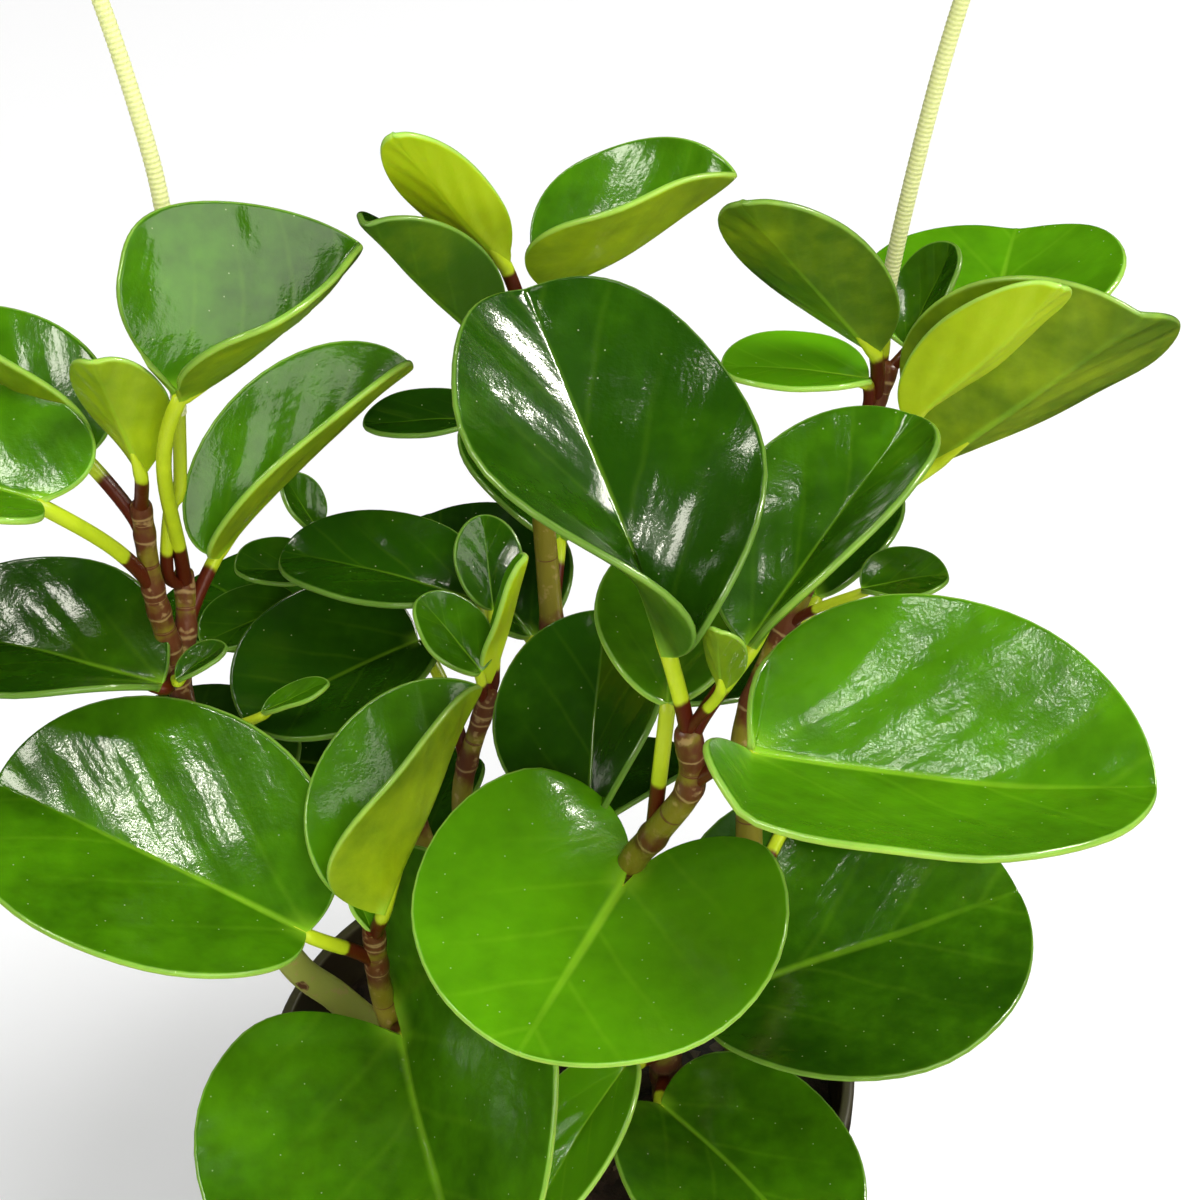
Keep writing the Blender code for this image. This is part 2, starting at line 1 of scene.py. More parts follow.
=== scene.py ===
"""Looks of a potted baby rubber plant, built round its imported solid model.

Laid out as a Blender add-on and run as a script. Every blade, stem, leaf stalk, flower spike, the
pot and the soil is a surface worked out with numpy and put in the place of its solid. Lengths in
the leaf and stem lists are millimetres in the solid model's own frame: X to the right, Y away from
the viewer, Z up, and the origin in the middle of the pot's base.
"""
import json
from dataclasses import dataclass
from functools import partial
from math import pi, radians, tan

import bpy
import numpy as np
from bpy.props import FloatProperty, FloatVectorProperty, IntProperty, PointerProperty
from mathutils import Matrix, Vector

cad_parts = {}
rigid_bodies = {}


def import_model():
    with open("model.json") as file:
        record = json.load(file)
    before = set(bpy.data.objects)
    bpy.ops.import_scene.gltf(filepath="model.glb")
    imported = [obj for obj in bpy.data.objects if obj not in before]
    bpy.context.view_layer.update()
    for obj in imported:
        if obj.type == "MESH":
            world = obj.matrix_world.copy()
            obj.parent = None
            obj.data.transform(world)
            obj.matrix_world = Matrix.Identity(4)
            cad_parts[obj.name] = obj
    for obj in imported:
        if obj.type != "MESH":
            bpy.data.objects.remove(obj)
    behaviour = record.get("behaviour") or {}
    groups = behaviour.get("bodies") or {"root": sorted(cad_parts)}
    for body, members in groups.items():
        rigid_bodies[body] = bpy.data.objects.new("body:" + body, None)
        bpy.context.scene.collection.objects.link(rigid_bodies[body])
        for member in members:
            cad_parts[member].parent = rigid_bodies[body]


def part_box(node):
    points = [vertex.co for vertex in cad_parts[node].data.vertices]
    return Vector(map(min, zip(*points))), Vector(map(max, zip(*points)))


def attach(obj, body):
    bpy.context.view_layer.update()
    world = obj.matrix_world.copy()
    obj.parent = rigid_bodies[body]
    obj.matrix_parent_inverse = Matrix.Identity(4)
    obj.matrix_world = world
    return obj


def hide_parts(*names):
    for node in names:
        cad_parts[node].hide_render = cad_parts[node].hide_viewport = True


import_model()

bl_info = {
    "name": "Potted baby rubber plant",
    "version": (1, 0, 0),
    "blender": (4, 5, 0),
    "location": "3D View > Sidebar > Plant",
    "description": "Builds leaves, stems, flower spikes, pot and soil over the plant's solids",
    "category": "Object",
}

MM = 0.001
TOWARDS_X = np.array([1.0, 0, 0])
BODY = "root"


def linear(hex_colour):
    """Turns an sRGB hex colour to linear red, green and blue."""
    parts = [int(hex_colour[place:place + 2], 16) / 255 for place in (0, 2, 4)]
    return tuple(part / 12.92 if part <= 0.04045 else ((part + 0.055) / 1.055) ** 2.4
                 for part in parts)


# Leaves and stems


@dataclass
class Leaf:
    """One leaf: lengths in millimetres and angles in degrees.

    base is where the stalk meets the blade, and node the height where the stalk leaves the stem.
    heading is the turn of the midrib from +X towards +Y and rise its climb. roll lifts the left
    half, fold lifts both halves, funnel folds the base further, cup curls the margins and arch
    bends the midrib down. lobe is the turn from the tip to the notch behind the stalk, more by skew
    on the right and less on the left, and full the roundness of the outline, where less is rounder.
    rear lifts the lobes behind the stalk. dent is the share by which the tip is notched, and tone
    runs from 0, a young light green, to 1, an old dark one. On the lower face a low tone is partly
    painted light shining through the blade. The values given are those of a plain grown leaf.
    """
    base: tuple
    node: float
    heading: float
    rise: float
    length: float
    width: float
    roll: float = 0
    fold: float = 10
    funnel: float = 25
    cup: float = 8
    arch: float = 10
    lobe: float = 115
    full: float = 0
    stem: int = 0
    skew: float = 0
    rear: float = 0
    dent: float = 0
    tone: float = 0.9


@dataclass
class Stem:
    """One stem: the points of its middle line and its radius at both ends in millimetres, the share
    of pale olive in its skin, and the heights of leaf scars on its front."""
    points: tuple
    base_radius: float
    tip_radius: float
    pale: float = 0
    scars: tuple = ()


# Each leaf: base, node, heading, rise, length, width, roll, fold, funnel, cup, arch, lobe and full
SHOOTS = {
    "shoot_front": dict(
        stems=[Stem(((22, -2, 82), (22, -2, 98), (20, -8, 120), (14, -22, 160), (13, -28, 187),
                     (17, -32, 200), (22, -37, 214), (23, -38, 221), (22, -39, 230)), 3.6, 2.2)],
        leaves=[
            Leaf((12, -34, 190), 180, -113, 6, 43, 64, -4, 3, 12, 6, 6, 168, 0.62, tone=0.27),
            Leaf((32, -44, 230), 217, -9, -6, 63, 69, 1, 21, 0, 10, -14, 119, 0.76,
                 skew=12, rear=45, tone=0.45),
            Leaf((19, -40, 247), 226, 117, 40, 66, 52, 6, 15, 72, 8, 6, 108, dent=0.04, tone=0.9),
            Leaf((31, -38, 247), 228, 49, 30, 47, 36, -14, 16, 30, 24, 4, 90, tone=0.75),
            Leaf((27, -43, 243), 234, -115, 78, 14, 9, 0, 30, 10, 10, 0, 80, tone=0.6),
            Leaf((19, -30, 228), 200, 85, 8, 40, 28, 0, 8, 20, 8, 8, 100, tone=0.6),
            Leaf((6, -15, 187), 166, 86, 34, 40, 38, -26, 20, 25, 8, 6, 105, tone=0.9),
            Leaf((20, -18, 112), 104, -52, 8, 50, 46, 0, 6, 25, 8, 14, 120, tone=0.65),
            Leaf((13, -17, 122), 112, -122, -4, 38, 24, 20, 8, 25, 8, 14, 110, tone=0),
        ]),
    "shoot_left": dict(
        stems=[Stem(((-32, 12, 82), (-36, 11, 96), (-46, 10, 112), (-55, 8, 127), (-66, 7, 165),
                     (-69, 8, 202), (-71, 8, 222), (-71, 8, 240)), 3.7, 1.8, pale=0.9, scars=(121,)),
               Stem(((-69, 8, 200), (-67, 12, 210), (-67, 16, 219)), 2.2, 1.8)],
        leaves=[
            Leaf((-60, -1, 269), 217, 40, 2, 40, 56, 4, 46, 6, 3, -42, 108, 0.35, stem=1, tone=0.65),
            Leaf((-69, 4, 250), 239, -122, 76, 28, 18, 25, 25, 30, 8, 4, 90, tone=0.5),
            Leaf((-80, 12, 248), 234, 150, 18, 38, 32, 19, 47, 16, 6, -10, 106, 0.7, tone=0.6),
            Leaf((-84, -8, 253), 222, 158, 2, 40, 41, 2, 14, 4, 14, 6, 132, 0.7, tone=0.5),
            Leaf((-62, 20, 220), 209, 41, 35, 51, 34, -3, 46, 10, 8, 22, 125, 1.9, stem=1, tone=0.5),
            Leaf((-70, 0, 206), 201, 165, 8, 49, 42, 0, 14, 25, 8, 10, 94, tone=0.9),
            Leaf((-67, -2, 209), 202, 20, 30, 11, 8, 0, 20, 20, 8, 4, 90, tone=0.8),
            Leaf((-54, 5, 195), 184, 10, 24, 14, 7, 0, 15, 20, 8, 4, 80, tone=0.6),
            Leaf((-64, 16, 152), 142, 118, 6, 46, 44, fold=8, arch=8, lobe=120),
        ]),
    "shoot_front_left": dict(
        stems=[Stem(((-26, -6, 82), (-27, -8, 98), (-30, -12, 118), (-33, -19, 146),
                     (-33, -23, 168)), 3.2, 2.0)],
        leaves=[
            Leaf((-44, -30, 174), 156, 156, 12, 66, 59, -15, 23, 10, 8, 6, 110, 0.95, tone=0.55),
            Leaf((-31, -28, 177), 164, 57, 46, 44, 42, -30, 50, 38, 6, 4, 92, 0.5, tone=0.5),
            Leaf((-33, -25, 169), 166, 135, 60, 11, 6, 0, 30, 10, 8, 0, 70, tone=0.1),
            Leaf((-29, -25, 141), 132, -77, -5, 58, 90, 31, 27, 10, 6, 10, 143, 0.6,
                 skew=-22, rear=16, tone=0.6),
        ]),
    "shoot_middle": dict(
        stems=[Stem(((-8, 16, 82), (-9, 16, 98), (-14, 18, 120), (-19, 17, 160),
                     (-13, 16, 190)), 3.0, 1.8)],
        leaves=[
            Leaf((-27, 31, 190), 172, -145, 2, 38, 42, 0, 10, 25, 8, 8, 115, tone=0.9),
            Leaf((-15, 30, 201), 184, 168, 12, 39, 30, 0, 12, 25, 8, 8, 100, tone=1),
            Leaf((-14, 13, 198), 186, 150, 45, 18, 16, 0, 10, 25, 8, 4, 100, tone=0.7),
            Leaf((-12, 25, 203), 189, 100, 50, 18, 14, 0, 16, 25, 8, 4, 95, tone=0.8),
            Leaf((-13, 18, 191), 184, -8, 76, 32, 13, 0, 22, 10, 8, 0, 80, tone=0),
        ]),
    "shoot_back": dict(
        stems=[Stem(((2, 34, 82), (2, 35, 98), (1, 40, 130), (-2, 44, 194), (-6, 51, 254)),
                    3.4, 1.8)],
        leaves=[
            Leaf((-9, 50, 263), 250, -130, 54, 45, 15, 40, 10, 10, 8, 0, 70, 0.4, tone=0.1),
            Leaf((-2, 52, 257), 248, 0, 22, 41, 42, -8, 38, 15, 6, -24, 100, 0.6, tone=0.5),
            Leaf((-12, 45, 249), 240, -135, 53, 45, 24, 18, 40, 15, 8, 0, 80, tone=1),
            Leaf((-13, 50, 229), 218, -165, 10, 24, 16, 0, 12, 25, 8, 8, 95, tone=1),
            Leaf((0, 56, 196), 184, 88, 8, 50, 46),
            Leaf((-6, 52, 174), 160, 122, 8, 44, 38, lobe=112),
            Leaf((10, 48, 158), 146, 38, 2, 44, 42),
            Leaf((4, 50, 122), 112, 82, -8, 44, 44, fold=8, arch=14, lobe=120),
        ]),
    "shoot_right": dict(
        stems=[Stem(((36, 6, 82), (37, 7, 98), (38, 8, 120), (37, 13, 160), (36, 19, 180),
                     (47, 29, 208), (60, 39, 248)), 3.4, 1.8)],
        leaves=[
            Leaf((57, 35, 254), 242, -150, 52, 49, 25, 38, 10, 15, 8, 0, 80, tone=0.8),
            Leaf((63, 40, 252), 246, 34, 62, 20, 17, -14, 14, 25, 8, 0, 90, tone=0.8),
            Leaf((79, 55, 236), 226, 73, 18, 40, 54, -14, 10, 20, 8, 4, 118, dent=0.05, tone=0.3),
            Leaf((70, 38, 228), 212, -36, 52, 57, 50, -46, 20, 6, 6, 0, 66, 0.5, tone=0.65),
            Leaf((62, 25, 246), 232, -40, 55, 46, 20, -38, 24, 10, 6, 0, 80, tone=0.15),
            Leaf((56, 35, 248), 236, -175, 12, 27, 20, 0, 10, 20, 8, 6, 100, tone=0),
            Leaf((56, 20, 212), 198, 0, 15, 16, 16, 0, 12, 25, 8, 6, 105, tone=0.8),
            Leaf((30, -8, 131), 118, 14, 16, 64, 75, 5, 8, 20, 8, 6, 122, tone=0.8),
            Leaf((50, 40, 194), 184, 96, 6, 46, 44),
            Leaf((46, 24, 150), 138, 42, 2, 44, 42),
        ]),
    "shoot_back_left": dict(
        stems=[Stem(((-22, 32, 82), (-23, 33, 98), (-30, 40, 130), (-46, 48, 184)), 3.0, 1.8)],
        leaves=[
            Leaf((-47, 50, 192), 180, -160, 20, 18, 17, 0, 14, 20, 8, 6, 95, tone=0.8),
            Leaf((-48, 55, 199), 183, 160, 60, 13, 12, 0, 14, 20, 8, 0, 95, tone=0.8),
            Leaf((-51, 45, 188), 176, -145, 5, 22, 18, 0, 12, 20, 8, 8, 95, tone=0.8),
            Leaf((-48, 54, 166), 156, 136, 2, 44, 42),
            Leaf((-42, 44, 144), 134, 172, 4, 42, 42),
            Leaf((-30, 48, 118), 108, 112, -8, 42, 42, fold=8, arch=12, lobe=118),
        ]),
}

# Flower spikes: the shoot and stem each grows on, the height where its stalk leaves the stem, and
# the middle lines of the stalk and of the spike, from its seat to its blunt tip, in millimetres
SPIKES = {
    "flower_spike_left": dict(
        shoot="shoot_left", stem=1, node=217,
        stalk=((-69, 12, 222), (-67, 12, 236), (-65, 13, 240), (-64, 16, 254)),
        line=((-64, 16, 254), (-64, 25, 283), (-67, 28, 306), (-74, 31, 335), (-86, 33, 370))),
    "flower_spike_right": dict(
        shoot="shoot_right", stem=0, node=238,
        stalk=((59, 41, 250), (58, 39, 259)),
        line=((58, 39, 259), (60, 37, 281), (64, 36, 310), (69, 35, 335), (76, 36, 362))),
}

# How a blade's outline and folds follow from its values, the same as in the solid model
PLAIN_FULL = 0.35
FULL_PER_LOBE = 1 / 140
MIDRIB_SPACING = 1.15
FUNNEL_REACH = 0.7
FUNNEL_MOST = 1.3
STRAIGHT = 1e-9

# The fine blade: rows from notch to tip, columns of a half, and the steps in from the margin
BLADE_ROWS = 46
ROWS_AT_ENDS = 0.7
HALF_COLUMNS = 12
COLUMNS_AT_MIDRIB = 1.5
MARGIN_STEPS = np.array([2.6, 1.7, 1.1, 0.75, 0.5, 0.3, 0.14, 0.04, 0.0])
MARGIN_SHARE = 0.35
DENT_BREADTH = 14

# Waves of a grown blade, by millimetres a radian along and across the midrib, and share of height
GROWN_LENGTH = 55
WAVES = ((9.5, 8, 1.0), (5.5, 6, 0.6))
MARGIN_WAVE = 6.5
MARGIN_WAVE_SHARE = 0.8
DRAWN_PHASES = 6
LEAF_SEED = 100

# A blade's thickness on a small leaf, and the channel over its midrib and the ridge below it
THIN_SHARE = 0.55
THICK_BY_LENGTH = 80
CHANNEL_BREADTH = 0.9
RIDGE_BREADTH = 1.2

# Stems and leaf stalks as in the solid model, but with slightly slimmer leaf stalks, in millimetres
STALK_RADIUS = 1.35
STALK_SINK = 0.75
STALK_RISE = 0.5
STALK_LEAVES = 0.35
STALK_ARRIVES = 0.3
STALK_TURN = 0.5
THINNEST = 0.45
FULL_AT_LENGTH = 33
STALK_STEPS = 18
STALK_END_STEPS = 6
STALK_FLARE = 0.22
STALK_FLARE_REACH = 2.2
SPIKE_STALK_RADIUS = 1.2
STALK_SIDES = 12
SPIKE_STALK_STEP = 1.5
STEM_SIDES = 20
STEM_STEP = 1.0
JOINT_SWELLING = 0.13
JOINT_REACH = 1.8
SCAR_RADIUS = 2.4
SPIKE_SIDES = 32
FLORETS_ROUND = 8


def unit(vectors):
    """Vectors divided by their own length."""
    return vectors / np.maximum(np.linalg.norm(vectors, axis=-1, keepdims=True), 1e-12)


def leaf_axes(leaf):
    """Unit vectors of a leaf: along the midrib, out to the left and out of the upper face."""
    heading, rise, roll = np.radians([leaf.heading, leaf.rise, leaf.roll])
    along = np.array([np.cos(heading) * np.cos(rise), np.sin(heading) * np.cos(rise), np.sin(rise)])
    level = np.array([-np.sin(heading), np.cos(heading), 0])
    left = level * np.cos(roll) + np.cross(along, level) * np.sin(roll)
    return along, left, np.cross(along, left)


def leaf_outline(leaf, q, side):
    """Margin of a leaf from the notch (q = 0) to the tip (q = 1), along and across the midrib.

    side is 1 on the left and -1 on the right.
    In polar form about the stalk, the radius is length * cos(turn * 90 / lobe) ** full, less a dent
    round the tip, and the breadth is scaled so that the widest place measures the leaf's width.
    """
    power = leaf.full or PLAIN_FULL + leaf.lobe * FULL_PER_LOBE

    def polar(part, lobe):
        turn = np.radians(lobe) * (1 - part)
        reach = np.maximum(np.cos((1 - part) * pi / 2), 0) ** power
        reach = reach * (1 - leaf.dent * np.exp(-(turn / radians(DENT_BREADTH)) ** 2))
        return reach * np.cos(turn), reach * np.sin(turn)

    widest = polar(np.linspace(0, 1, 200), leaf.lobe)[1].max()
    along, across = polar(q, leaf.lobe - leaf.skew * side)
    return along * leaf.length, across * leaf.width / 2 / widest


def blade_middle(leaf, q, v, crease):
    """Middle surface of a blade, for q from notch to tip and v from 1, left, to -1, right.

    Straight ribs join the midrib to the outline. The midrib bends down along an arc, and each half
    rises by the fold angle, softened within crease of the midrib, and curls up to its margin.
    Returns the points, and the flat blade's places along and across the midrib.
    """
    margin_along, margin_across = leaf_outline(leaf, q, np.sign(v))
    along = leaf.length * (1 - leaf.dent) * q ** MIDRIB_SPACING
    along = along + (margin_along - along) * np.abs(v)
    across = margin_across * v
    bend = radians(leaf.arch) / leaf.length + STRAIGHT
    turn = bend * np.maximum(along, 0)
    run = np.where(along > 0, np.sin(turn) / bend, along)
    drop = (1 - np.cos(turn)) / bend
    towards_base = np.clip(1 - along / leaf.length / FUNNEL_REACH, 0, FUNNEL_MOST) ** 2
    lift = np.radians(leaf.fold + leaf.funnel * towards_base)
    curl = radians(leaf.cup) / (leaf.width / 2)
    aside = np.abs(across)
    out = (np.sin(lift + curl * aside) - np.sin(lift)) / curl
    raised = np.sqrt(aside ** 2 + crease ** 2) - crease
    up = (np.cos(lift) - np.cos(lift + curl * raised)) / curl
    forward, left, normal = leaf_axes(leaf)
    tilted = normal * np.cos(turn)[..., None] + forward * np.sin(turn)[..., None]
    rise = np.maximum(-along, 0) * tan(radians(leaf.rear)) - drop
    place = run[..., None] * forward + rise[..., None] * normal
    place = place + (np.sign(v) * out)[..., None] * left + up[..., None] * tilted
    return np.array(leaf.base) + place, along, across


def vein_phase(along_share, across_share, look):
    """How far a place lies from one side vein to the next, where whole numbers are on a vein.

    A side vein leaves the midrib and sweeps forward as it runs out to the margin.
    """
    sweep = look.vein_sweep * np.abs(across_share) ** look.vein_curve
    return (along_share - sweep) * look.vein_pairs


def smooth_line(points, step):
    """Points about a step apart on the smooth curve through a few given points (Catmull-Rom)."""
    given = np.array(points, float)
    padded = np.vstack([2 * given[0] - given[1], given, 2 * given[-1] - given[-2]])
    line = []
    for a, b, c, d in zip(padded, padded[1:], padded[2:], padded[3:]):
        t = np.arange(0, 1, 1 / max(1, round(np.linalg.norm(c - b) / step)))[:, None]
        line.append(0.5 * (2 * b + (c - a) * t + (2 * a - 5 * b + 4 * c - d) * t * t
                           + (3 * b - a - 3 * c + d) * t ** 3))
    line.append(given[-1:])
    return np.concatenate(line)


def point_at_height(line, height):
    """The point of a rising line at a height."""
    return np.array([np.interp(height, line[:, 2], line[:, axis]) for axis in range(3)])


def travelled(line):
    """Length run along a line up to each of its points."""
    return np.concatenate([[0], np.cumsum(np.linalg.norm(np.diff(line, axis=0), axis=1))])


def stalk_path(leaf, stem_line):
    """Middle line and radius of a leaf stalk: an arc from the stem into the midrib under the blade.

    The arc is a cubic Bezier curve that leaves the stem upwards and outwards and turns in towards
    the midrib.
    """
    start = point_at_height(stem_line, leaf.node)
    forward, _, normal = leaf_axes(leaf)
    base = np.array(leaf.base) - normal * STALK_SINK
    reach = np.linalg.norm(base - start)
    direct = unit(base - start)
    outward = unit(direct + np.array([0, 0, STALK_RISE]))
    leave = start + outward * reach * STALK_LEAVES
    arrive = base - unit(forward * STALK_TURN + direct) * reach * STALK_ARRIVES
    t = np.linspace(0, 1, STALK_STEPS)[:, None]
    path = (start * (1 - t) ** 3 + leave * 3 * t * (1 - t) ** 2
            + arrive * 3 * t * t * (1 - t) + base * t ** 3)
    q = np.linspace(0.05, 0.24, STALK_END_STEPS)
    under, _, _ = blade_middle(leaf, q, np.zeros(STALK_END_STEPS), 0.6)
    rest = np.linspace(STALK_SINK, 0.5, STALK_END_STEPS)[:, None]
    path = np.concatenate([path, under - normal * rest])
    slender = STALK_RADIUS * min(1, THINNEST + (1 - THINNEST) * leaf.length / FULL_AT_LENGTH)
    run = travelled(path)
    radii = np.concatenate([np.full(STALK_STEPS, slender),
                            np.linspace(slender * 0.95, slender * 0.4, STALK_END_STEPS)])
    return path, radii * (1 + STALK_FLARE * np.exp(-(run / STALK_FLARE_REACH) ** 2))


# Surfaces and meshes


@dataclass
class Surface:
    """Part of a mesh: points in millimetres, faces of four and three corners, values per point."""
    points: np.ndarray
    quads: np.ndarray
    triangles: np.ndarray
    fields: dict


def wrapped(points, fields):
    """Closes a grid whose columns run round a section and whose end rows are single points.

    Quads join each row to the next, and fans of triangles join the end rows. The faces are turned
    to point outwards by the sign of the volume that they hold.
    """
    rows, sides = points.shape[:2]
    index = 1 + np.arange((rows - 2) * sides).reshape(rows - 2, sides)
    beside = np.roll(index, -1, axis=1)
    quads = np.stack([index[:-1], beside[:-1], beside[1:], index[1:]], -1).reshape(-1, 4)
    last = 1 + index.size
    near_fan = np.stack([np.zeros(sides, int), beside[0], index[0]], -1)
    far_fan = np.stack([np.full(sides, last), index[-1], beside[-1]], -1)
    triangles = np.concatenate([near_fan, far_fan])

    def strung(grid):
        middle = grid[1:-1].reshape(-1, *grid.shape[2:])
        return np.concatenate([grid[:1, 0], middle, grid[-1:, 0]])

    places = strung(points)
    corners = np.concatenate([triangles, quads[:, :3], quads[:, [0, 2, 3]]])
    a, b, c = (places[corners[:, corner]] for corner in range(3))
    if np.sum(a * np.cross(b, c)) < 0:
        quads, triangles = quads[:, ::-1], triangles[:, ::-1]
    return Surface(places, quads, triangles, {name: strung(grid) for name, grid in fields.items()})


def tube(line, radii, across, fields, groove=0.0):
    """A circle of changing radius carried along a line, with rounded ends.

    across is the direction that turn zero faces. radii holds one value a point, or a row of values
    round each point. A groove is a share of the radius that is missing a quarter turn further on.
    """
    sides = radii.shape[1] if radii.ndim > 1 else STALK_SIDES
    radii = radii if radii.ndim > 1 else np.repeat(radii[:, None], sides, 1)
    turn = np.linspace(0, 2 * pi, sides, endpoint=False)
    radii = radii * (1 - groove * np.exp(-((turn - pi / 2) / 0.5) ** 2))
    tangent = unit(np.gradient(line, axis=0))
    level = unit(across - (tangent @ across)[:, None] * tangent)
    steep = np.cross(tangent, level)
    ring = level[:, None] * np.cos(turn)[:, None] + steep[:, None] * np.sin(turn)[:, None]
    body = line[:, None] + radii[..., None] * ring
    swell = np.cos(np.linspace(0, pi / 2, 4))[1:]
    reach = np.sin(np.linspace(0, pi / 2, 4))[1:] * 0.6
    start = [line[0] + radii[0][:, None] * (ring[0] * s - tangent[0] * r)
             for s, r in zip(swell, reach)][::-1]
    end = [line[-1] + radii[-1][:, None] * (ring[-1] * s + tangent[-1] * r)
           for s, r in zip(swell, reach)]
    points = np.concatenate([start, body, end])

    def spread(values):
        values = values if values.ndim > 1 else np.repeat(values[:, None], sides, 1)
        return np.concatenate([np.repeat(values[:1], 3, 0), values, np.repeat(values[-1:], 3, 0)])

    return wrapped(points, {name: spread(values) for name, values in fields.items()})


def add_object(name, data):
    """An object in the scene that shows a mesh, a light or a camera."""
    made = bpy.data.objects.new(name, data)
    bpy.context.scene.collection.objects.link(made)
    return made


def add_piece(name, surfaces, look, slot, *nodes):
    """Joins surfaces to one smooth mesh object that stands for solid nodes and rides on the plant.

    A field of two columns becomes a UV map and a field of one column a point attribute.
    """
    starts = np.cumsum([0] + [len(surface.points) for surface in surfaces])
    points = np.concatenate([surface.points for surface in surfaces]) * MM
    quads = np.concatenate([surface.quads + start for surface, start in zip(surfaces, starts)])
    triangles = np.concatenate([s.triangles + start for s, start in zip(surfaces, starts)])
    corners = np.concatenate([quads.ravel(), triangles.ravel()])
    counts = np.concatenate([np.full(len(quads), 4), np.full(len(triangles), 3)])
    mesh = bpy.data.meshes.new(name)
    mesh.vertices.add(len(points))
    mesh.vertices.foreach_set("co", points.astype(np.float32).ravel())
    mesh.loops.add(len(corners))
    mesh.loops.foreach_set("vertex_index", corners.astype(np.int32))
    mesh.polygons.add(len(counts))
    mesh.polygons.foreach_set("loop_start", np.cumsum(np.concatenate([[0], counts[:-1]])))
    mesh.update(calc_edges=True)
    for field in surfaces[0].fields:
        values = np.concatenate([surface.fields[field] for surface in surfaces])
        if values.ndim > 1:
            layer = mesh.uv_layers.new(name=field)
            layer.data.foreach_set("uv", values[corners].astype(np.float32).ravel())
        else:
            attribute = mesh.attributes.new(field, "FLOAT", "POINT")
            attribute.data.foreach_set("value", values.astype(np.float32))
    mesh.shade_smooth()
    mesh.materials.append(look)
    if mesh.validate():
        raise RuntimeError(f"{name}: the mesh had faulty faces")
    made = add_object(name, mesh)
    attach(made, BODY)
    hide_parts(*nodes)
    return made


def blade_surface(leaf, look, draw):
    """A whole blade: two faces round its middle surface, joined by a rounded margin.

    Half the thickness is T / 2 * sqrt(1 - (1 - d / (T / 2)) ** 2) at a distance d from the margin.
    The middle surface is waved by crossed sines with drawn phases and puckered between side veins.
    The upper face dips in a channel over the midrib, which stands out as a ridge below.
    """
    s = np.linspace(0, 1, BLADE_ROWS)[:, None]
    q = s - ROWS_AT_ENDS * np.sin(2 * pi * s) / (2 * pi)
    midrib = leaf.length * (1 - leaf.dent) * q ** MIDRIB_SPACING
    part = (np.arange(HALF_COLUMNS) / HALF_COLUMNS) ** COLUMNS_AT_MIDRIB

    def half_columns(side):
        margin_along, margin_across = leaf_outline(leaf, q, side)
        rib = np.hypot(margin_along - midrib, margin_across)
        shrink = np.minimum(1, MARGIN_SHARE * rib / MARGIN_STEPS[0])
        outer = 1 - MARGIN_STEPS * shrink / np.maximum(rib, 1e-9)
        columns = np.concatenate([outer[:, :1] * part, outer], axis=1)
        return columns, rib * (1 - columns)

    left, left_distance = half_columns(1)
    right, right_distance = half_columns(-1)
    v = np.concatenate([left[:, ::-1], -right[:, 1:]], axis=1)
    distance = np.concatenate([left_distance[:, ::-1], right_distance[:, 1:]], axis=1)
    middle, along, across = blade_middle(leaf, q, v, look.crease / MM)
    along_share = along / leaf.length
    across_share = across / (leaf.width / 2)

    normal = unit(np.cross(np.gradient(middle, axis=1), np.gradient(middle, axis=0)))
    normal[0], normal[-1] = normal[1], normal[-2]
    phase = draw.uniform(0, 2 * pi, DRAWN_PHASES)
    size = leaf.length / GROWN_LENGTH
    wave = np.sin(along / MARGIN_WAVE / size + np.sign(v) * phase[4])
    wave = wave * MARGIN_WAVE_SHARE * np.abs(v) ** 3
    for (long, broad, high), first, second in zip(WAVES, phase[::2], phase[1::2]):
        crossed = np.sin(along / long / size + first) * np.sin(across / broad / size + second)
        wave = wave + high * crossed
    base_fade = np.clip(along_share * 2.5, 0, 1)
    pucker = np.cos(2 * pi * vein_phase(along_share, across_share, look))
    pucker = pucker * np.abs(v) * (1 - np.abs(v)) * 4
    wave = look.wave / MM * size * wave * base_fade - look.pucker / MM * size * pucker * base_fade
    middle = middle + wave[..., None] * normal

    thick = look.thickness / MM / 2 * min(1, THIN_SHARE + leaf.length / THICK_BY_LENGTH)
    edge = np.clip(distance / thick, 0, 1)
    half_thick = thick * np.sqrt(1 - (1 - edge) ** 2)
    taper = np.clip(1 - along_share, 0, 1)
    channel = look.channel / MM * taper * np.exp(-(across / CHANNEL_BREADTH) ** 2) * edge
    ridge = look.ridge / MM * min(1, size) * taper ** 1.3 * edge
    ridge = ridge * np.exp(-(across / RIDGE_BREADTH) ** 2)
    upper = middle + (half_thick - channel)[..., None] * normal
    lower = middle - (half_thick + ridge)[..., None] * normal

    def round_section(top, bottom):
        return np.concatenate([top, bottom[:, -2:0:-1]], axis=1)

    share = np.stack([along_share, across_share], -1)
    flat = np.stack([along, across], -1) / 100
    on_margin = np.abs(v) > 1 - 1e-9
    return wrapped(round_section(upper, lower), {
        "blade": round_section(share, share),
        "flat": round_section(flat, flat),
        "margin": round_section(distance, distance),
        "side": round_section(np.where(on_margin, 0.5, 1.0), np.zeros_like(v)),
        "tone": np.full(round_section(v, v).shape, leaf.tone),
    })


def stalk_surface(leaf, stem_line):
    """A leaf stalk: a tube with a shallow groove on top.

    from_joint is the way run from the stem in millimetres, and more on a thinner stalk.
    """
    path, radii = stalk_path(leaf, stem_line)
    run = travelled(path)
    left = leaf_axes(leaf)[1]
    plain = np.zeros_like(run)
    slender = radii[STALK_STEPS // 2 + 1] / STALK_RADIUS
    return tube(path, radii, left, {
        "from_joint": run / slender, "bark": plain, "stalk": plain + 1, "pale": plain}, groove=0.15)


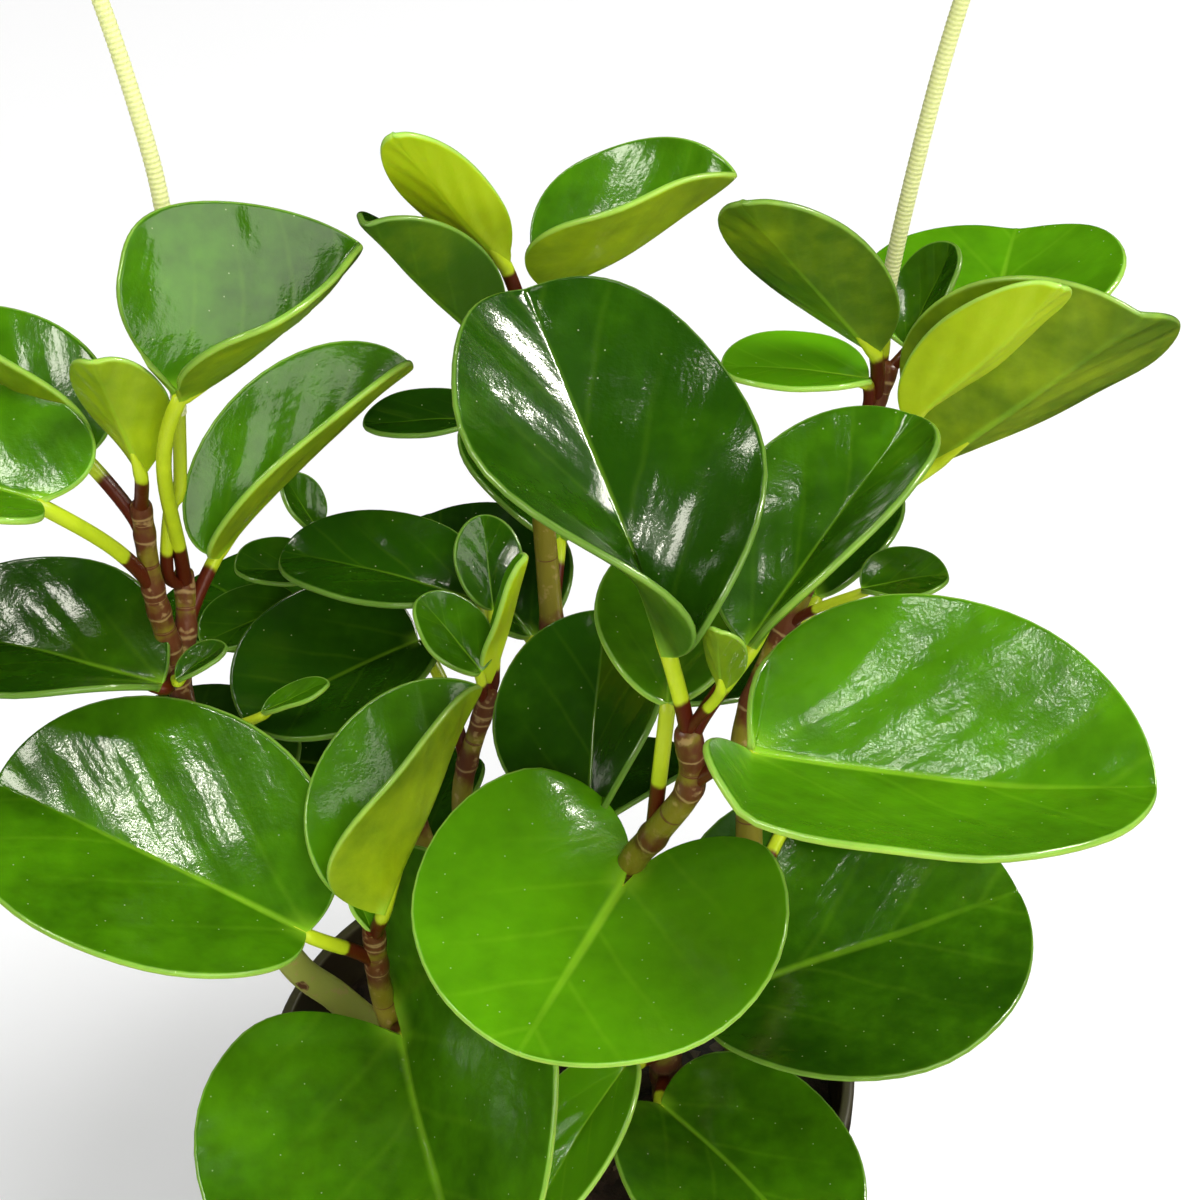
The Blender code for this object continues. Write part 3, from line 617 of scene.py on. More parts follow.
def stem_surface(stem, line, joints):
    """A stem: a tube that swells at each joint, where a leaf stalk leaves it.

    Its pale skin gives way to the plain one above. from_joint is the climb from the nearest joint in
    millimetres, and shrinks to nothing at a leaf scar.
    """
    run = travelled(line)
    taper = run / run[-1]
    climbs = line[:, 2][:, None] - np.array(joints)[None, :]
    climb = np.take_along_axis(climbs, np.abs(climbs).argmin(axis=1)[:, None], axis=1)
    radii = stem.base_radius + (stem.tip_radius - stem.base_radius) * taper
    radii = radii * (0.97 + JOINT_SWELLING * np.exp(-(climb[:, 0] / JOINT_REACH) ** 2))
    turn = np.linspace(0, 2 * pi, STEM_SIDES, endpoint=False)
    climb = np.repeat(climb, STEM_SIDES, axis=1)
    for scar in stem.scars:
        aside = (turn - 1.5 * pi) * stem.base_radius
        apart = np.hypot(line[:, 2][:, None] - scar, aside[None, :])
        climb = climb * np.minimum((apart / SCAR_RADIUS) ** 6, 1)
    plain = np.zeros_like(run)
    return tube(line, np.repeat(radii[:, None], STEM_SIDES, 1), TOWARDS_X, {
        "from_joint": climb, "bark": 1 - taper, "stalk": plain,
        "pale": stem.pale * np.clip(2.2 - 3 * taper, 0, 1)})


def spike_stalk_surface(spike, line):
    """A flower spike's stalk, from the stem up to the seat of the spike."""
    foot = point_at_height(line, spike["node"])
    path = smooth_line((tuple(foot), *spike["stalk"]), SPIKE_STALK_STEP)
    run = travelled(path)
    plain = np.zeros_like(run)
    return tube(path, plain + SPIKE_STALK_RADIUS, TOWARDS_X, {
        "from_joint": run, "bark": plain, "stalk": plain + 1, "pale": plain + 0.3})


def spike_surface(spike, look):
    """A flower spike: a slim rod that tapers, covered in rings of tiny florets set in turn.

    At a distance s from its foot and a turn t round it, the radius is
    R * (taper + relief * cos(2 pi s / pitch) * (0.75 + 0.5 cos(n t + pi s / pitch))).
    """
    pitch = look.floret_pitch / MM
    line = smooth_line(spike["line"], pitch / 4)
    run = travelled(line)
    turn = np.linspace(0, 2 * pi, SPIKE_SIDES, endpoint=False)
    ring = np.cos(2 * pi * run / pitch)[:, None]
    twist = run[:, None] / pitch * pi
    floret = ring * (0.75 + 0.5 * np.cos(FLORETS_ROUND * turn + twist))
    share = run / run[-1]
    taper = 1 - 0.16 * share ** 2 - 0.06 * np.exp(-(run / 4) ** 2)
    radii = look.radius / MM * (taper[:, None] + look.relief * floret)
    fields = {"share": share, "floret": floret}
    return tube(line, radii, TOWARDS_X, fields)


# Materials

# How many of a pattern stand on a metre, where 45 are 22 mm and 1500 are 0.7 mm across
LEAF_PATCHES = 45
LEAF_CLOUDS = 260
WAX_SWELLINGS = 160
STEM_PATCHES = 160
STEM_CRACKS = 420
STEM_FIBRES = 900
FIBRE_STRETCH = (1.0, 1.0, 0.18)
SPIKE_PATCHES = 300
POT_DUST = 130
POT_GRAIN = 1800
SOIL_CELLS = 420
SOIL_GRAIN = 1500

# How many stand on 100 mm of a blade that is laid flat
SIDE_VEIN_BENDS = 9
WAX_CREASES = 15
SPECK_CELLS = 24

# What the word after a kind of node sets on it
MODES = {"Math": "operation", "MapRange": "interpolation_type", "Mix": "data_type",
         "TexVoronoi": "voronoi_dimensions", "UVMap": "uv_map", "Attribute": "attribute_name"}


def fill(socket, value):
    """Gives an input its value, a colour with full alpha, or links it to the output of a node."""
    if isinstance(value, bpy.types.NodeSocket):
        socket.id_data.links.new(value, socket)
    elif socket.type == "RGBA":
        socket.default_value = (*value, 1.0)
    else:
        socket.default_value = value


def add_node(tree, kind, *values, output="", **inputs):
    """Adds a node and returns one of its outputs, which is the first unless it is named.

    kind may end in a word that MODES explains. values fill the inputs in use in their order, and
    inputs fills them by name.
    """
    kind, _, mode = kind.partition(" ")
    made = tree.nodes.new("ShaderNode" + kind)
    if mode:
        setattr(made, MODES[kind], mode)
    for socket, value in zip([socket for socket in made.inputs if socket.enabled], values):
        fill(socket, value)
    for name, value in inputs.items():
        fill(made.inputs[name], value)
    return made.outputs[output] if output else next(s for s in made.outputs if s.enabled)


def new_material(name):
    """A new material, and the function that adds a node to it."""
    made = bpy.data.materials.new(name)
    made.use_nodes = True
    return made, partial(add_node, made.node_tree)


def finished(material, **inputs):
    """A material with inputs of its Principled shader filled."""
    shader = material.node_tree.nodes["Principled BSDF"]
    for name, value in inputs.items():
        fill(shader.inputs[name.replace("_", " ")], value)
    return material


def leaf_lines(node, look, flat, along, across):
    """How clearly the midrib and the side veins show, from 0 to 1."""
    sweep = node("Math MULTIPLY", node("Math POWER", across, look.vein_curve), look.vein_sweep)
    phase = node("Math MULTIPLY", node("Math SUBTRACT", along, sweep), look.vein_pairs)
    wander = node("TexNoise", flat, SIDE_VEIN_BENDS, 1)
    phase = node("Math MULTIPLY_ADD", wander, look.vein_wander, phase)
    beside = node("Math PINGPONG", phase, 0.5)
    vein = node("Math MULTIPLY", node("MapRange SMOOTHSTEP", beside, 0, look.vein_breadth, 1, 0),
                node("MapRange SMOOTHSTEP", across, 0.15, 0.85, look.vein_strength, 0))
    midrib_width = node("Math MULTIPLY_ADD", along, -0.028, 0.05)
    from_middle = node("Math DIVIDE", across, midrib_width)
    midrib = node("Math MULTIPLY", node("MapRange SMOOTHSTEP", from_middle, 0.25, 1, 1, 0),
                  node("MapRange SMOOTHSTEP", along, 0.1, 1, 1, 0.15))
    return node("Math MAXIMUM", vein, midrib)


def leaf_specks(node, look, flat):
    """Round specks of lime, each in the middle of a cell of about 4 mm, in a few of the cells."""
    distance = node("TexVoronoi 2D", flat, SPECK_CELLS)
    drawn = node("TexVoronoi 2D", flat, SPECK_CELLS, output="Color")
    drawn = node("SeparateColor", drawn)
    few = node("Math GREATER_THAN", drawn, look.speck_free)
    return node("Math MULTIPLY", few,
                node("MapRange SMOOTHSTEP", distance, 0.02, 0.04, look.speck_strength, 0))


def wax_normal(node, look, place, flat, line):
    """Relief of the wax: fine grains on swellings of about 6 mm, and creases along the side veins.

    The lines of the veins lie a little lower.
    """
    grain = node("TexNoise", place, 1 / look.pebble, 2, 0.6)
    swelling = node("TexNoise", place, WAX_SWELLINGS, 1)
    along = node("SeparateXYZ", flat)
    across = node("SeparateXYZ", flat, output="Y")
    slant = node("Math MULTIPLY_ADD", node("Math ABSOLUTE", across), -1.4, along)
    lie = node("CombineXYZ", slant, node("Math MULTIPLY", across, 0.3))
    height = node("Math MULTIPLY", node("TexNoise", lie, WAX_CREASES, 2), look.crease_height)
    height = node("Math MULTIPLY_ADD", grain, look.grain_height, height)
    height = node("Math MULTIPLY_ADD", swelling, look.swelling_height, height)
    height = node("Math MULTIPLY_ADD", line, -0.6, height)
    return node("Bump", Height=height, Strength=look.bump, Distance=0.3 * MM)


def leaf_material(look):
    """Living leaf with a thick wax coat, smooth and wet-looking above and duller below.

    The eye sees a deep green, a pale thin margin that is partly its own colour and partly painted
    light shining through the thin edge, a pale midrib that fades to the tip, faint side veins, and
    highlights that the uneven wax breaks up. Young undersides are pale yellow-green, partly their own
    colour and partly painted light shining through the blade.
    """
    made, node = new_material("waxy_leaf")
    blade, flat = node("UVMap blade"), node("UVMap flat")
    place = node("TexCoord", output="Object")
    along = node("SeparateXYZ", blade)
    across = node("Math ABSOLUTE", node("SeparateXYZ", blade, output="Y"))
    side = node("Attribute side", output="Fac")
    patches = node("TexNoise", place, LEAF_PATCHES, 3)
    clouds = node("TexNoise", place, LEAF_CLOUDS, 3)
    tone = node("Math ADD", node("Attribute tone", output="Fac"),
                node("Math MULTIPLY_ADD", patches, 0.7, -0.35))
    tone = node("Math ADD", tone, node("Math MULTIPLY_ADD", clouds, 0.3, -0.15))
    aged = node("MapRange SMOOTHSTEP", tone, 0, 1)
    clear = node("MapRange SMOOTHSTEP", tone, 0, 1, 0.8, 0.25)
    line = leaf_lines(node, look, flat, along, across)

    upper = node("Mix RGBA", aged, look.young, look.old)
    upper = node("Mix RGBA", node("Math MULTIPLY", line, clear), upper, look.vein)
    upper = node("Mix RGBA", leaf_specks(node, look, flat), upper, look.speck)
    # Lower face: a low tone gives a pale green that is partly the underside's own colour and partly
    # painted light shining through the blade
    lower = node("Mix RGBA", aged, look.below_backlit, look.below)
    lower = node("Mix RGBA", node("Math MULTIPLY", line, 0.3), lower, look.vein)
    face = node("Mix RGBA", side, lower, upper)
    foot = node("Math MULTIPLY", node("MapRange SMOOTHSTEP", along, -0.02, 0.1, 0.5, 0),
                node("MapRange SMOOTHSTEP", across, 0.02, 0.16, 1, 0))
    face = node("Mix RGBA", foot, face, look.vein)
    # Pale margin: partly the thin edge's own colour and partly painted light shining through it
    from_margin = node("Attribute margin", output="Fac")
    rim = node("MapRange SMOOTHSTEP", from_margin, 0.15, look.margin / MM, 1, 0)
    face = node("Mix RGBA", node("Math MULTIPLY", rim, clear), face, look.rim)

    rough = node("MapRange SMOOTHSTEP", side, 0, 1, look.rough_below, look.rough_above)
    rough = node("Math ADD", rough, node("Math MULTIPLY_ADD", patches, 0.1, -0.05))
    normal = wax_normal(node, look, place, flat, line)
    return finished(made, Base_Color=face, Roughness=rough, Normal=normal, Coat_Normal=normal,
                    IOR=1.45, Coat_Weight=look.coat, Coat_Roughness=look.coat_rough, Coat_IOR=1.45,
                    Subsurface_Weight=look.through, Subsurface_Radius=(0.45, 1.0, 0.08),
                    Subsurface_Scale=1.2 * MM)


def stem_material(look):
    """Fleshy stem skin, satin: olive, and red-brown with a corky ring at each joint.

    A thick stem is pale olive low down, and the others are barky. Leaf stalks are bright
    yellow-green, and red-brown where they leave the stem.
    """
    made, node = new_material("fleshy_stem")
    place = node("TexCoord", output="Object")
    joint, bark, stalk, pale = (node("Attribute " + name, output="Fac")
                                for name in ("from_joint", "bark", "stalk", "pale"))
    patches = node("TexNoise", place, STEM_PATCHES, 4)
    fibres = node("TexNoise", node("Mapping", place, Scale=FIBRE_STRETCH), STEM_FIBRES, 3)
    cracks = node("TexNoise", place, STEM_CRACKS, 3)
    away = node("Math ABSOLUTE", joint)

    between = node("Math MULTIPLY_ADD", patches, 14, away)
    between = node("MapRange SMOOTHSTEP", between, 8.5, 12.5)
    skin = node("Mix RGBA", between, look.brown, look.olive)
    pale = node("Math MULTIPLY", pale, node("MapRange SMOOTHSTEP", away, 0.5, 3))
    skin = node("Mix RGBA", pale, skin, look.pale)
    skin = node("Mix RGBA", node("Math MULTIPLY", fibres, 0.15), skin, look.cork)
    near = node("Math ADD", joint, node("Math MULTIPLY_ADD", patches, 3, -0.7))
    ring = node("Math MULTIPLY", node("MapRange SMOOTHSTEP", near, -0.4, 0),
                node("MapRange SMOOTHSTEP", near, 0.1, 0.5, 0.6, 0))
    skin = node("Mix RGBA", ring, skin, look.cork)
    cracked = node("MapRange SMOOTHSTEP", cracks, 0.58, 0.7, 0, 0.55)
    skin = node("Mix RGBA", cracked, skin, look.cork)
    low = node("Math MULTIPLY", node("MapRange SMOOTHSTEP", bark, 0.45, 1),
               node("MapRange SMOOTHSTEP", pale, 0, 1, 0.45, 0))
    skin = node("Mix RGBA", low, skin, look.old)

    green = node("Mix RGBA", patches, look.stalk, look.stalk_light)
    flushed = node("Math MULTIPLY_ADD", patches, 4, joint)
    flushed = node("MapRange SMOOTHSTEP", flushed, 13.5, 15, 1, 0)
    green = node("Mix RGBA", flushed, green, look.brown)
    height = node("Math MULTIPLY_ADD", patches, 0.6, fibres)
    return finished(made, Base_Color=node("Mix RGBA", stalk, skin, green), Roughness=0.35,
                    Normal=node("Bump", Height=height, Strength=0.35, Distance=0.4 * MM), IOR=1.43,
                    Subsurface_Weight=0.1, Subsurface_Radius=(0.9, 1.0, 0.2), Subsurface_Scale=MM)


def spike_material(look):
    """Flower spike: pale yellow-green florets packed in rings, matt, greener towards the tip, with
    painted shade in the gaps between the rings.
    """
    made, node = new_material("flower_spike_skin")
    skin = node("Mix RGBA", node("Attribute share", output="Fac"), look.foot, look.tip)
    floret = node("Attribute floret", output="Fac")
    # Painted shade: the gaps between the rings of florets are darkened towards the groove colour
    shaded_gaps = node("MapRange SMOOTHSTEP", floret, -0.9, 0.6, 0.55, 0)
    skin = node("Mix RGBA", shaded_gaps, skin, look.groove)
    patches = node("TexNoise", node("TexCoord", output="Object"), SPIKE_PATCHES, 2)
    skin = node("Mix RGBA", node("Math MULTIPLY", patches, 0.3), skin, look.foot)
    return finished(made, Base_Color=skin, Roughness=0.6, Subsurface_Weight=0.2,
                    Subsurface_Radius=(1.0, 1.0, 0.4), Subsurface_Scale=MM)


def pot_material(look):
    """Vacuum-formed polypropylene: dark brown, satin, with dust and a paler lip whose top is a
    painted highlight.
    """
    made, node = new_material("pot_polypropylene")
    place = node("TexCoord", output="Object")
    dust = node("TexNoise", place, POT_DUST, 6, 0.7)
    dusty = node("MapRange SMOOTHSTEP", dust, 0.45, 0.8)
    height = node("SeparateXYZ", place, output="Z")
    # Painted highlight: the top 1.2 mm of the lip is blended towards the paler rim colour
    rim = node("MapRange SMOOTHSTEP", height, look.rim_height - 1.2 * MM, look.rim_height, 0, 0.45)
    skin = node("Mix RGBA", rim, node("Mix RGBA", dusty, look.plastic, look.dust), look.rim)
    fine = node("TexNoise", place, POT_GRAIN, 2)
    return finished(made, Base_Color=skin, Roughness=node("Math MULTIPLY_ADD", dust, 0.3, 0.28),
                    Normal=node("Bump", Height=fine, Strength=0.12, Distance=0.2 * MM), IOR=1.49)


def soil_material(look):
    """Peat potting soil: nearly black, matt and crumbly, with some paler, dry crumbs of 2 mm."""
    made, node = new_material("peat_soil")
    place = node("TexCoord", output="Object")
    tint = node("SeparateColor", node("TexVoronoi", place, SOIL_CELLS, output="Color"))
    dry = node("Math MULTIPLY", node("Math GREATER_THAN", tint, 0.93), 0.6)
    skin = node("Mix RGBA", dry, node("Mix RGBA", tint, look.dark, look.brown), look.dry)
    fine = node("TexNoise", place, SOIL_GRAIN, 5)
    return finished(made, Base_Color=skin, Roughness=0.95,
                    Normal=node("Bump", Height=fine, Strength=0.8, Distance=0.6 * MM))


# Pot and soil, in millimetres
POT_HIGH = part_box("pot")[1] / MM
POT_HEIGHT = POT_HIGH.z
POT_RIM_RADIUS = POT_HIGH.x
POT_FOOT_RADIUS = 43
POT_WALL = 1.3
POT_RIM_DEPTH = 8
POT_RIM_STEP = 1.6
POT_RIM_ROUND = 0.7
POT_FLOOR = 1.8
POT_PAD_RADIUS = 20
POT_CHANNEL_RADIUS = 36
POT_CHANNEL_RISE = 3
POT_CORNER = 3
POT_FOOT_ROUND = 1.3
POT_SIDES = 128
DRAIN_COUNT = 6
DRAIN_RADIUS = 4
DRAIN_SIDES = 48
DRAIN_CUT = (-3.0, 3.0, 12.0)
SOIL_TOP = 92
SOIL_MOUND = 2.5
SOIL_LUMP = 0.7
SOIL_GAP = 0.3
SOIL_SEED = 5
SOIL_RINGS = 110
SOIL_SIDES = 240


def wall_radius(height):
    """Outer radius of the pot's plain wall at a height."""
    top = POT_RIM_RADIUS - POT_RIM_STEP
    return POT_FOOT_RADIUS + (top - POT_FOOT_RADIUS) * height / (POT_HEIGHT - POT_RIM_DEPTH)


def rounded(profile, radius, steps):
    """A profile with each corner replaced by a quadratic curve that starts a radius before it."""
    points = np.array(profile, float)
    t = np.linspace(0, 1, steps)[:, None]
    line = [points[:1]]
    for before, corner, after in zip(points, points[1:], points[2:]):
        cut = min(radius, np.linalg.norm(corner - before) / 2.1, np.linalg.norm(after - corner) / 2.1)
        first = corner + unit(before - corner) * cut
        last = corner + unit(after - corner) * cut
        line.append(first * (1 - t) ** 2 + corner * 2 * t * (1 - t) + last * t ** 2)
    line.append(points[-1:])
    return np.concatenate(line)


def turned(profile, sides):
    """A profile of radius and height carried round the upright axis."""
    turn = np.linspace(0, 2 * pi, sides, endpoint=False)
    radius, height = profile[:, :1], profile[:, 1:]
    return np.stack([radius * np.cos(turn), radius * np.sin(turn), height + 0 * turn], -1)


def pot_surface():
    """The pot: floor with a middle pad and a raised ring, tapered wall and turned rim."""
    rim_low = POT_HEIGHT - POT_RIM_DEPTH
    rim_inner = POT_RIM_RADIUS - POT_RIM_STEP - POT_WALL + POT_RIM_ROUND / 2
    slope = POT_CHANNEL_RISE
    pad_top = POT_PAD_RADIUS - POT_FLOOR / 2
    ring_top = POT_CHANNEL_RADIUS + POT_FLOOR / 2
    profile = [
        (0, POT_FLOOR), (pad_top, POT_FLOOR), (pad_top + slope, POT_CHANNEL_RISE + POT_FLOOR),
        (ring_top - slope, POT_CHANNEL_RISE + POT_FLOOR), (ring_top, POT_FLOOR),
        (wall_radius(0) - POT_WALL, POT_FLOOR), (wall_radius(POT_CORNER) - POT_WALL, POT_CORNER),
        (wall_radius(rim_low) - POT_WALL, rim_low), (rim_inner, POT_HEIGHT - POT_RIM_ROUND),
        (rim_inner + POT_RIM_ROUND / 2, POT_HEIGHT), (POT_RIM_RADIUS - POT_RIM_ROUND, POT_HEIGHT),
        (POT_RIM_RADIUS, POT_HEIGHT - POT_RIM_ROUND), (POT_RIM_RADIUS, rim_low + POT_RIM_ROUND),
        (wall_radius(rim_low), rim_low), (wall_radius(POT_FOOT_ROUND), POT_FOOT_ROUND),
        (POT_FOOT_RADIUS - POT_FOOT_ROUND, 0), (POT_CHANNEL_RADIUS, 0),
        (POT_CHANNEL_RADIUS - slope, POT_CHANNEL_RISE), (POT_PAD_RADIUS + slope, POT_CHANNEL_RISE),
        (POT_PAD_RADIUS, 0), (0, 0)]
    return wrapped(turned(rounded(profile, 0.8, 5), POT_SIDES), {})


def drain_cutters():
    """Round bars that cut the drain holes in the pot's raised ring, as one surface each."""
    circle = (POT_PAD_RADIUS + POT_CHANNEL_RADIUS) / 2
    bars = []
    for index in range(DRAIN_COUNT):
        turn = 2 * pi * index / DRAIN_COUNT
        x, y = circle * np.cos(turn), circle * np.sin(turn)
        line = np.array([[x, y, height] for height in DRAIN_CUT])
        radii = np.full((len(line), DRAIN_SIDES), float(DRAIN_RADIUS))
        bars.append(tube(line, radii, TOWARDS_X, {}))
    return bars


def drilled(pot, bars):
    """Cuts the drain holes and keeps the result in the pot's own mesh."""
    cutters = bpy.data.collections.new("drain_cutters")
    bpy.context.scene.collection.children.link(cutters)
    for index, bar in enumerate(bars):
        mesh = bpy.data.meshes.new(f"drain_{index}")
        faces = bar.quads.tolist() + bar.triangles.tolist()
        mesh.from_pydata((bar.points * MM).tolist(), [], faces)
        cutters.objects.link(bpy.data.objects.new(f"drain_{index}", mesh))
    cut = pot.modifiers.new("drains", "BOOLEAN")
    cut.operation = "DIFFERENCE"
    cut.operand_type = "COLLECTION"
    cut.collection = cutters
    bpy.context.view_layer.update()
    graph = bpy.context.evaluated_depsgraph_get()
    mesh = bpy.data.meshes.new_from_object(pot.evaluated_get(graph))
    pot.modifiers.clear()
    pot.data = mesh
    mesh.shade_smooth()
    mesh.set_sharp_from_angle(angle=radians(40))
    for cutter in list(cutters.objects):
        bpy.data.objects.remove(cutter)
    bpy.data.collections.remove(cutters)


def soil_surface(look):
    """The soil: a low lumpy mound whose surface is the upper hull of seeded round crumbs.

    Each crumb raises the ground to base + sqrt(r * r - d * d) at a distance d from its middle.
    """
    draw = np.random.default_rng(SOIL_SEED)
    bottom = POT_CHANNEL_RISE + POT_FLOOR + SOIL_GAP
    rim = wall_radius(SOIL_TOP) - POT_WALL - SOIL_GAP
    radius = np.linspace(0, 1, SOIL_RINGS)[:, None] * rim
    turn = np.linspace(0, 2 * pi, SOIL_SIDES, endpoint=False)
    x, y = radius * np.cos(turn), radius * np.sin(turn)
    part = radius / rim
    lumps = np.sin(3 * turn + 9 * part) * np.cos(2 * turn - 7 * part) * np.sin(pi * part)
    ground = SOIL_TOP + SOIL_MOUND * (1 - part ** 2) + SOIL_LUMP * lumps - 0.8
    height = ground.copy()
    spread = np.sqrt(draw.uniform(0, 1, look.crumbs)) * rim
    round_turn = draw.uniform(0, 2 * pi, look.crumbs)
    sizes = look.crumb_size / MM * draw.uniform(0.35, 1.0, look.crumbs) ** 2
    sinks = draw.uniform(0.1, 0.8, look.crumbs)
    for centre, where, size, sink in zip(spread, round_turn, sizes, sinks):
        apart = (x - centre * np.cos(where)) ** 2 + (y - centre * np.sin(where)) ** 2
        top = ground + np.sqrt(np.maximum(size ** 2 - apart, 0)) - size * sink
        height = np.where(apart < size ** 2, np.maximum(height, top), height)
    height[-1] = SOIL_TOP - 0.5
    height[0] = height[0].mean()
    top = np.stack([x, y, height], -1)
    low = wall_radius(bottom) - POT_WALL - SOIL_GAP
    wall = turned(np.array([(rim, SOIL_TOP - 2), (low, bottom), (0, bottom)], float), SOIL_SIDES)
    return wrapped(np.concatenate([top, wall]), {})


# Settings that a user would change


def colour(name, description, hex_colour):
    """A colour property with its default given as sRGB hex."""
    return FloatVectorProperty(name=name, description=description, subtype="COLOR", size=3,
                               min=0.0, max=1.0, default=linear(hex_colour))


def length(name, description, millimetres):
    """A length property with its default given in millimetres."""
    return FloatProperty(name=name, description=description, subtype="DISTANCE", unit="LENGTH",
                         min=0.0, precision=5, default=millimetres * MM)


def number(name, description, value, most=1.0):
    """A property without a unit."""
    return FloatProperty(name=name, description=description, min=0.0, max=most, default=value)


class PlantLeafLook(bpy.types.PropertyGroup):
    """Sizes and colours of the leaves."""
    thickness: length("Thickness", "Thickness of a grown blade", 1.3)
    crease: length("Crease", "Breadth over which the fold at the midrib is softened", 0.7)
    wave: length("Wave", "Height of the broad waves of a grown blade", 0.45)
    pucker: length("Pucker", "Height of the swellings between side veins", 0.2)
    channel: length("Channel", "Depth of the channel over the midrib", 0.3)
    ridge: length("Ridge", "Height of the midrib below the blade at its base", 0.9)
    margin: length("Margin", "Breadth of the pale margin", 0.5)
    pebble: length("Pebble", "Size of the grains of the wax coat", 0.8)
    vein_pairs: number("Vein pairs", "Side veins to the length of a blade", 3.4, 10)
    vein_sweep: number("Vein sweep", "How far a side vein runs forward", 0.62, 2)
    vein_curve: number("Vein curve", "How a side vein curves, where 1 is straight", 0.9, 3)
    vein_wander: number("Vein wander", "How far side veins stray from even places", 0.16)
    vein_breadth: number("Vein breadth", "Breadth of a side vein as a share of their spacing", 0.09)
    vein_strength: number("Vein strength", "How clearly side veins show beside the midrib", 0.13)
    speck_free: number("Speck-free share", "Share of a blade's cells without a speck", 0.8)
    speck_strength: number("Speck strength", "How clearly specks show", 0.45)
    bump: number("Bump", "Strength of the wax coat's relief", 0.22)
    grain_height: number("Grain height", "Share of fine grains in the relief", 0.65, 10)
    crease_height: number("Crease height", "Share of creases in the relief", 2.4, 10)
    swelling_height: number("Swelling height", "Share of swellings in the relief", 3.2, 10)
    coat: number("Coat", "Weight of the wax coat", 0.3)
    coat_rough: number("Coat roughness", "Roughness of the wax coat", 0.08)
    rough_above: number("Upper roughness", "Roughness under the wax, above", 0.16)
    rough_below: number("Lower roughness", "Roughness under the wax, below", 0.45)
    through: number("Translucence", "Share of the light that spreads inside the blade", 0.35)
    young: colour("Young green", "Upper face of a young leaf", "5c9e0a")
    old: colour("Old green", "Upper face of an old leaf", "1e4503")
    vein: colour("Vein", "Midrib and side veins", "9cd42c")
    # Margin green is partly the edge's own colour and partly painted light shining through the thin
    # edge
    rim: colour("Margin green", "Pale margin", "aad65c")
    speck: colour("Speck", "Dried specks of lime", "d8e2b4")
    below: colour("Lower green", "Underside of an old leaf", "3a6400")
    # Lower light green is partly the underside's own colour and partly painted light shining through
    # the blade
    below_backlit: colour("Lower light green", "Underside of a young leaf", "bcd40e")


class PlantStemLook(bpy.types.PropertyGroup):
    """Colours of the stems and leaf stalks."""
    brown: colour("Red-brown", "Flushed skin at joints and on young stems", "561c08")
    olive: colour("Olive", "Green-brown skin between joints", "7c740c")
    pale: colour("Pale olive", "Skin of a thick low stem", "a6b24e")
    old: colour("Old bark", "Skin near the soil", "5a4630")
    cork: colour("Cork", "Dry rings and fibres", "b89c62")
    stalk: colour("Stalk", "Leaf stalks", "a2bc14")
    stalk_light: colour("Light stalk", "Leaf stalks where they are lightest", "d2e228")


class PlantSpikeLook(bpy.types.PropertyGroup):
    """Sizes and colours of the flower spikes."""
    radius: length("Radius", "Radius of a spike", 1.4)
    floret_pitch: length("Floret pitch", "Distance from one ring of florets to the next", 0.9)
    relief: number("Relief", "Height of a floret as a share of the radius", 0.05)
    foot: colour("Foot", "Spike near its stalk", "fbfab8")
    tip: colour("Tip", "Spike near its tip", "d8e28a")
    # The groove colour is painted shade in the gaps between the rings of florets
    groove: colour("Groove", "Gaps between the rings of florets", "c2cc6a")


class PlantPotLook(bpy.types.PropertyGroup):
    """Colours of the pot."""
    rim_height: length("Rim height", "Height of the pot's lip", POT_HEIGHT)
    plastic: colour("Plastic", "Moulded wall", "382f1e")
    dust: colour("Dust", "Dust on the wall", "463d28")
    # The paler rim colour is a painted highlight along the top of the lip
    rim: colour("Rim", "Scuffed lip", "75704f")


class PlantSoilLook(bpy.types.PropertyGroup):
    """Sizes and colours of the soil."""
    crumbs: IntProperty(name="Crumbs", description="How many crumbs lie on the soil", min=0,
                        max=6000, default=1700)
    crumb_size: length("Crumb size", "Radius of the largest crumbs", 3.2)
    dark: colour("Dark soil", "Damp peat", "1d1510")
    brown: colour("Brown soil", "Drier peat", "3a2a1e")
    dry: colour("Dry crumbs", "Dry crumbs and fibres", "7c6650")


class PlantStageLook(bpy.types.PropertyGroup):
    """Floor, light and camera."""
    floor: colour("Floor", "Pale floor", "e8e8e8")
    glow: number("Floor glow", "Light that the pale floor gives off", 0.18, 2)
    sky: number("Sky strength", "Strength of the even white light", 0.4, 10)
    key_power: number("Key power", "Watts of the wide soft key light", 62.0, 500)
    fill_power: number("Fill power", "Watts of the soft light from the front", 20.0, 500)
    windows: number("Windows", "Strength of the highlights on gloss", 1.0, 10)
    camera_place: FloatVectorProperty(name="Camera place", description="Where the camera stands",
                                      subtype="TRANSLATION", unit="LENGTH", size=3,
                                      default=(0.008, -0.324, 0.488))
    camera_pitch: FloatProperty(name="Camera pitch", description="How far the camera looks down",
                                subtype="ANGLE", unit="ROTATION", default=radians(39))
    camera_field: FloatProperty(name="Field of view", description="Angle that the image covers",
                                subtype="ANGLE", unit="ROTATION", default=radians(28))


class PlantSettings(bpy.types.PropertyGroup):
    """All settings of the plant."""
    leaf: PointerProperty(type=PlantLeafLook)
    stem: PointerProperty(type=PlantStemLook)
    spike: PointerProperty(type=PlantSpikeLook)
    pot: PointerProperty(type=PlantPotLook)
    soil: PointerProperty(type=PlantSoilLook)
    stage: PointerProperty(type=PlantStageLook)


# Operators


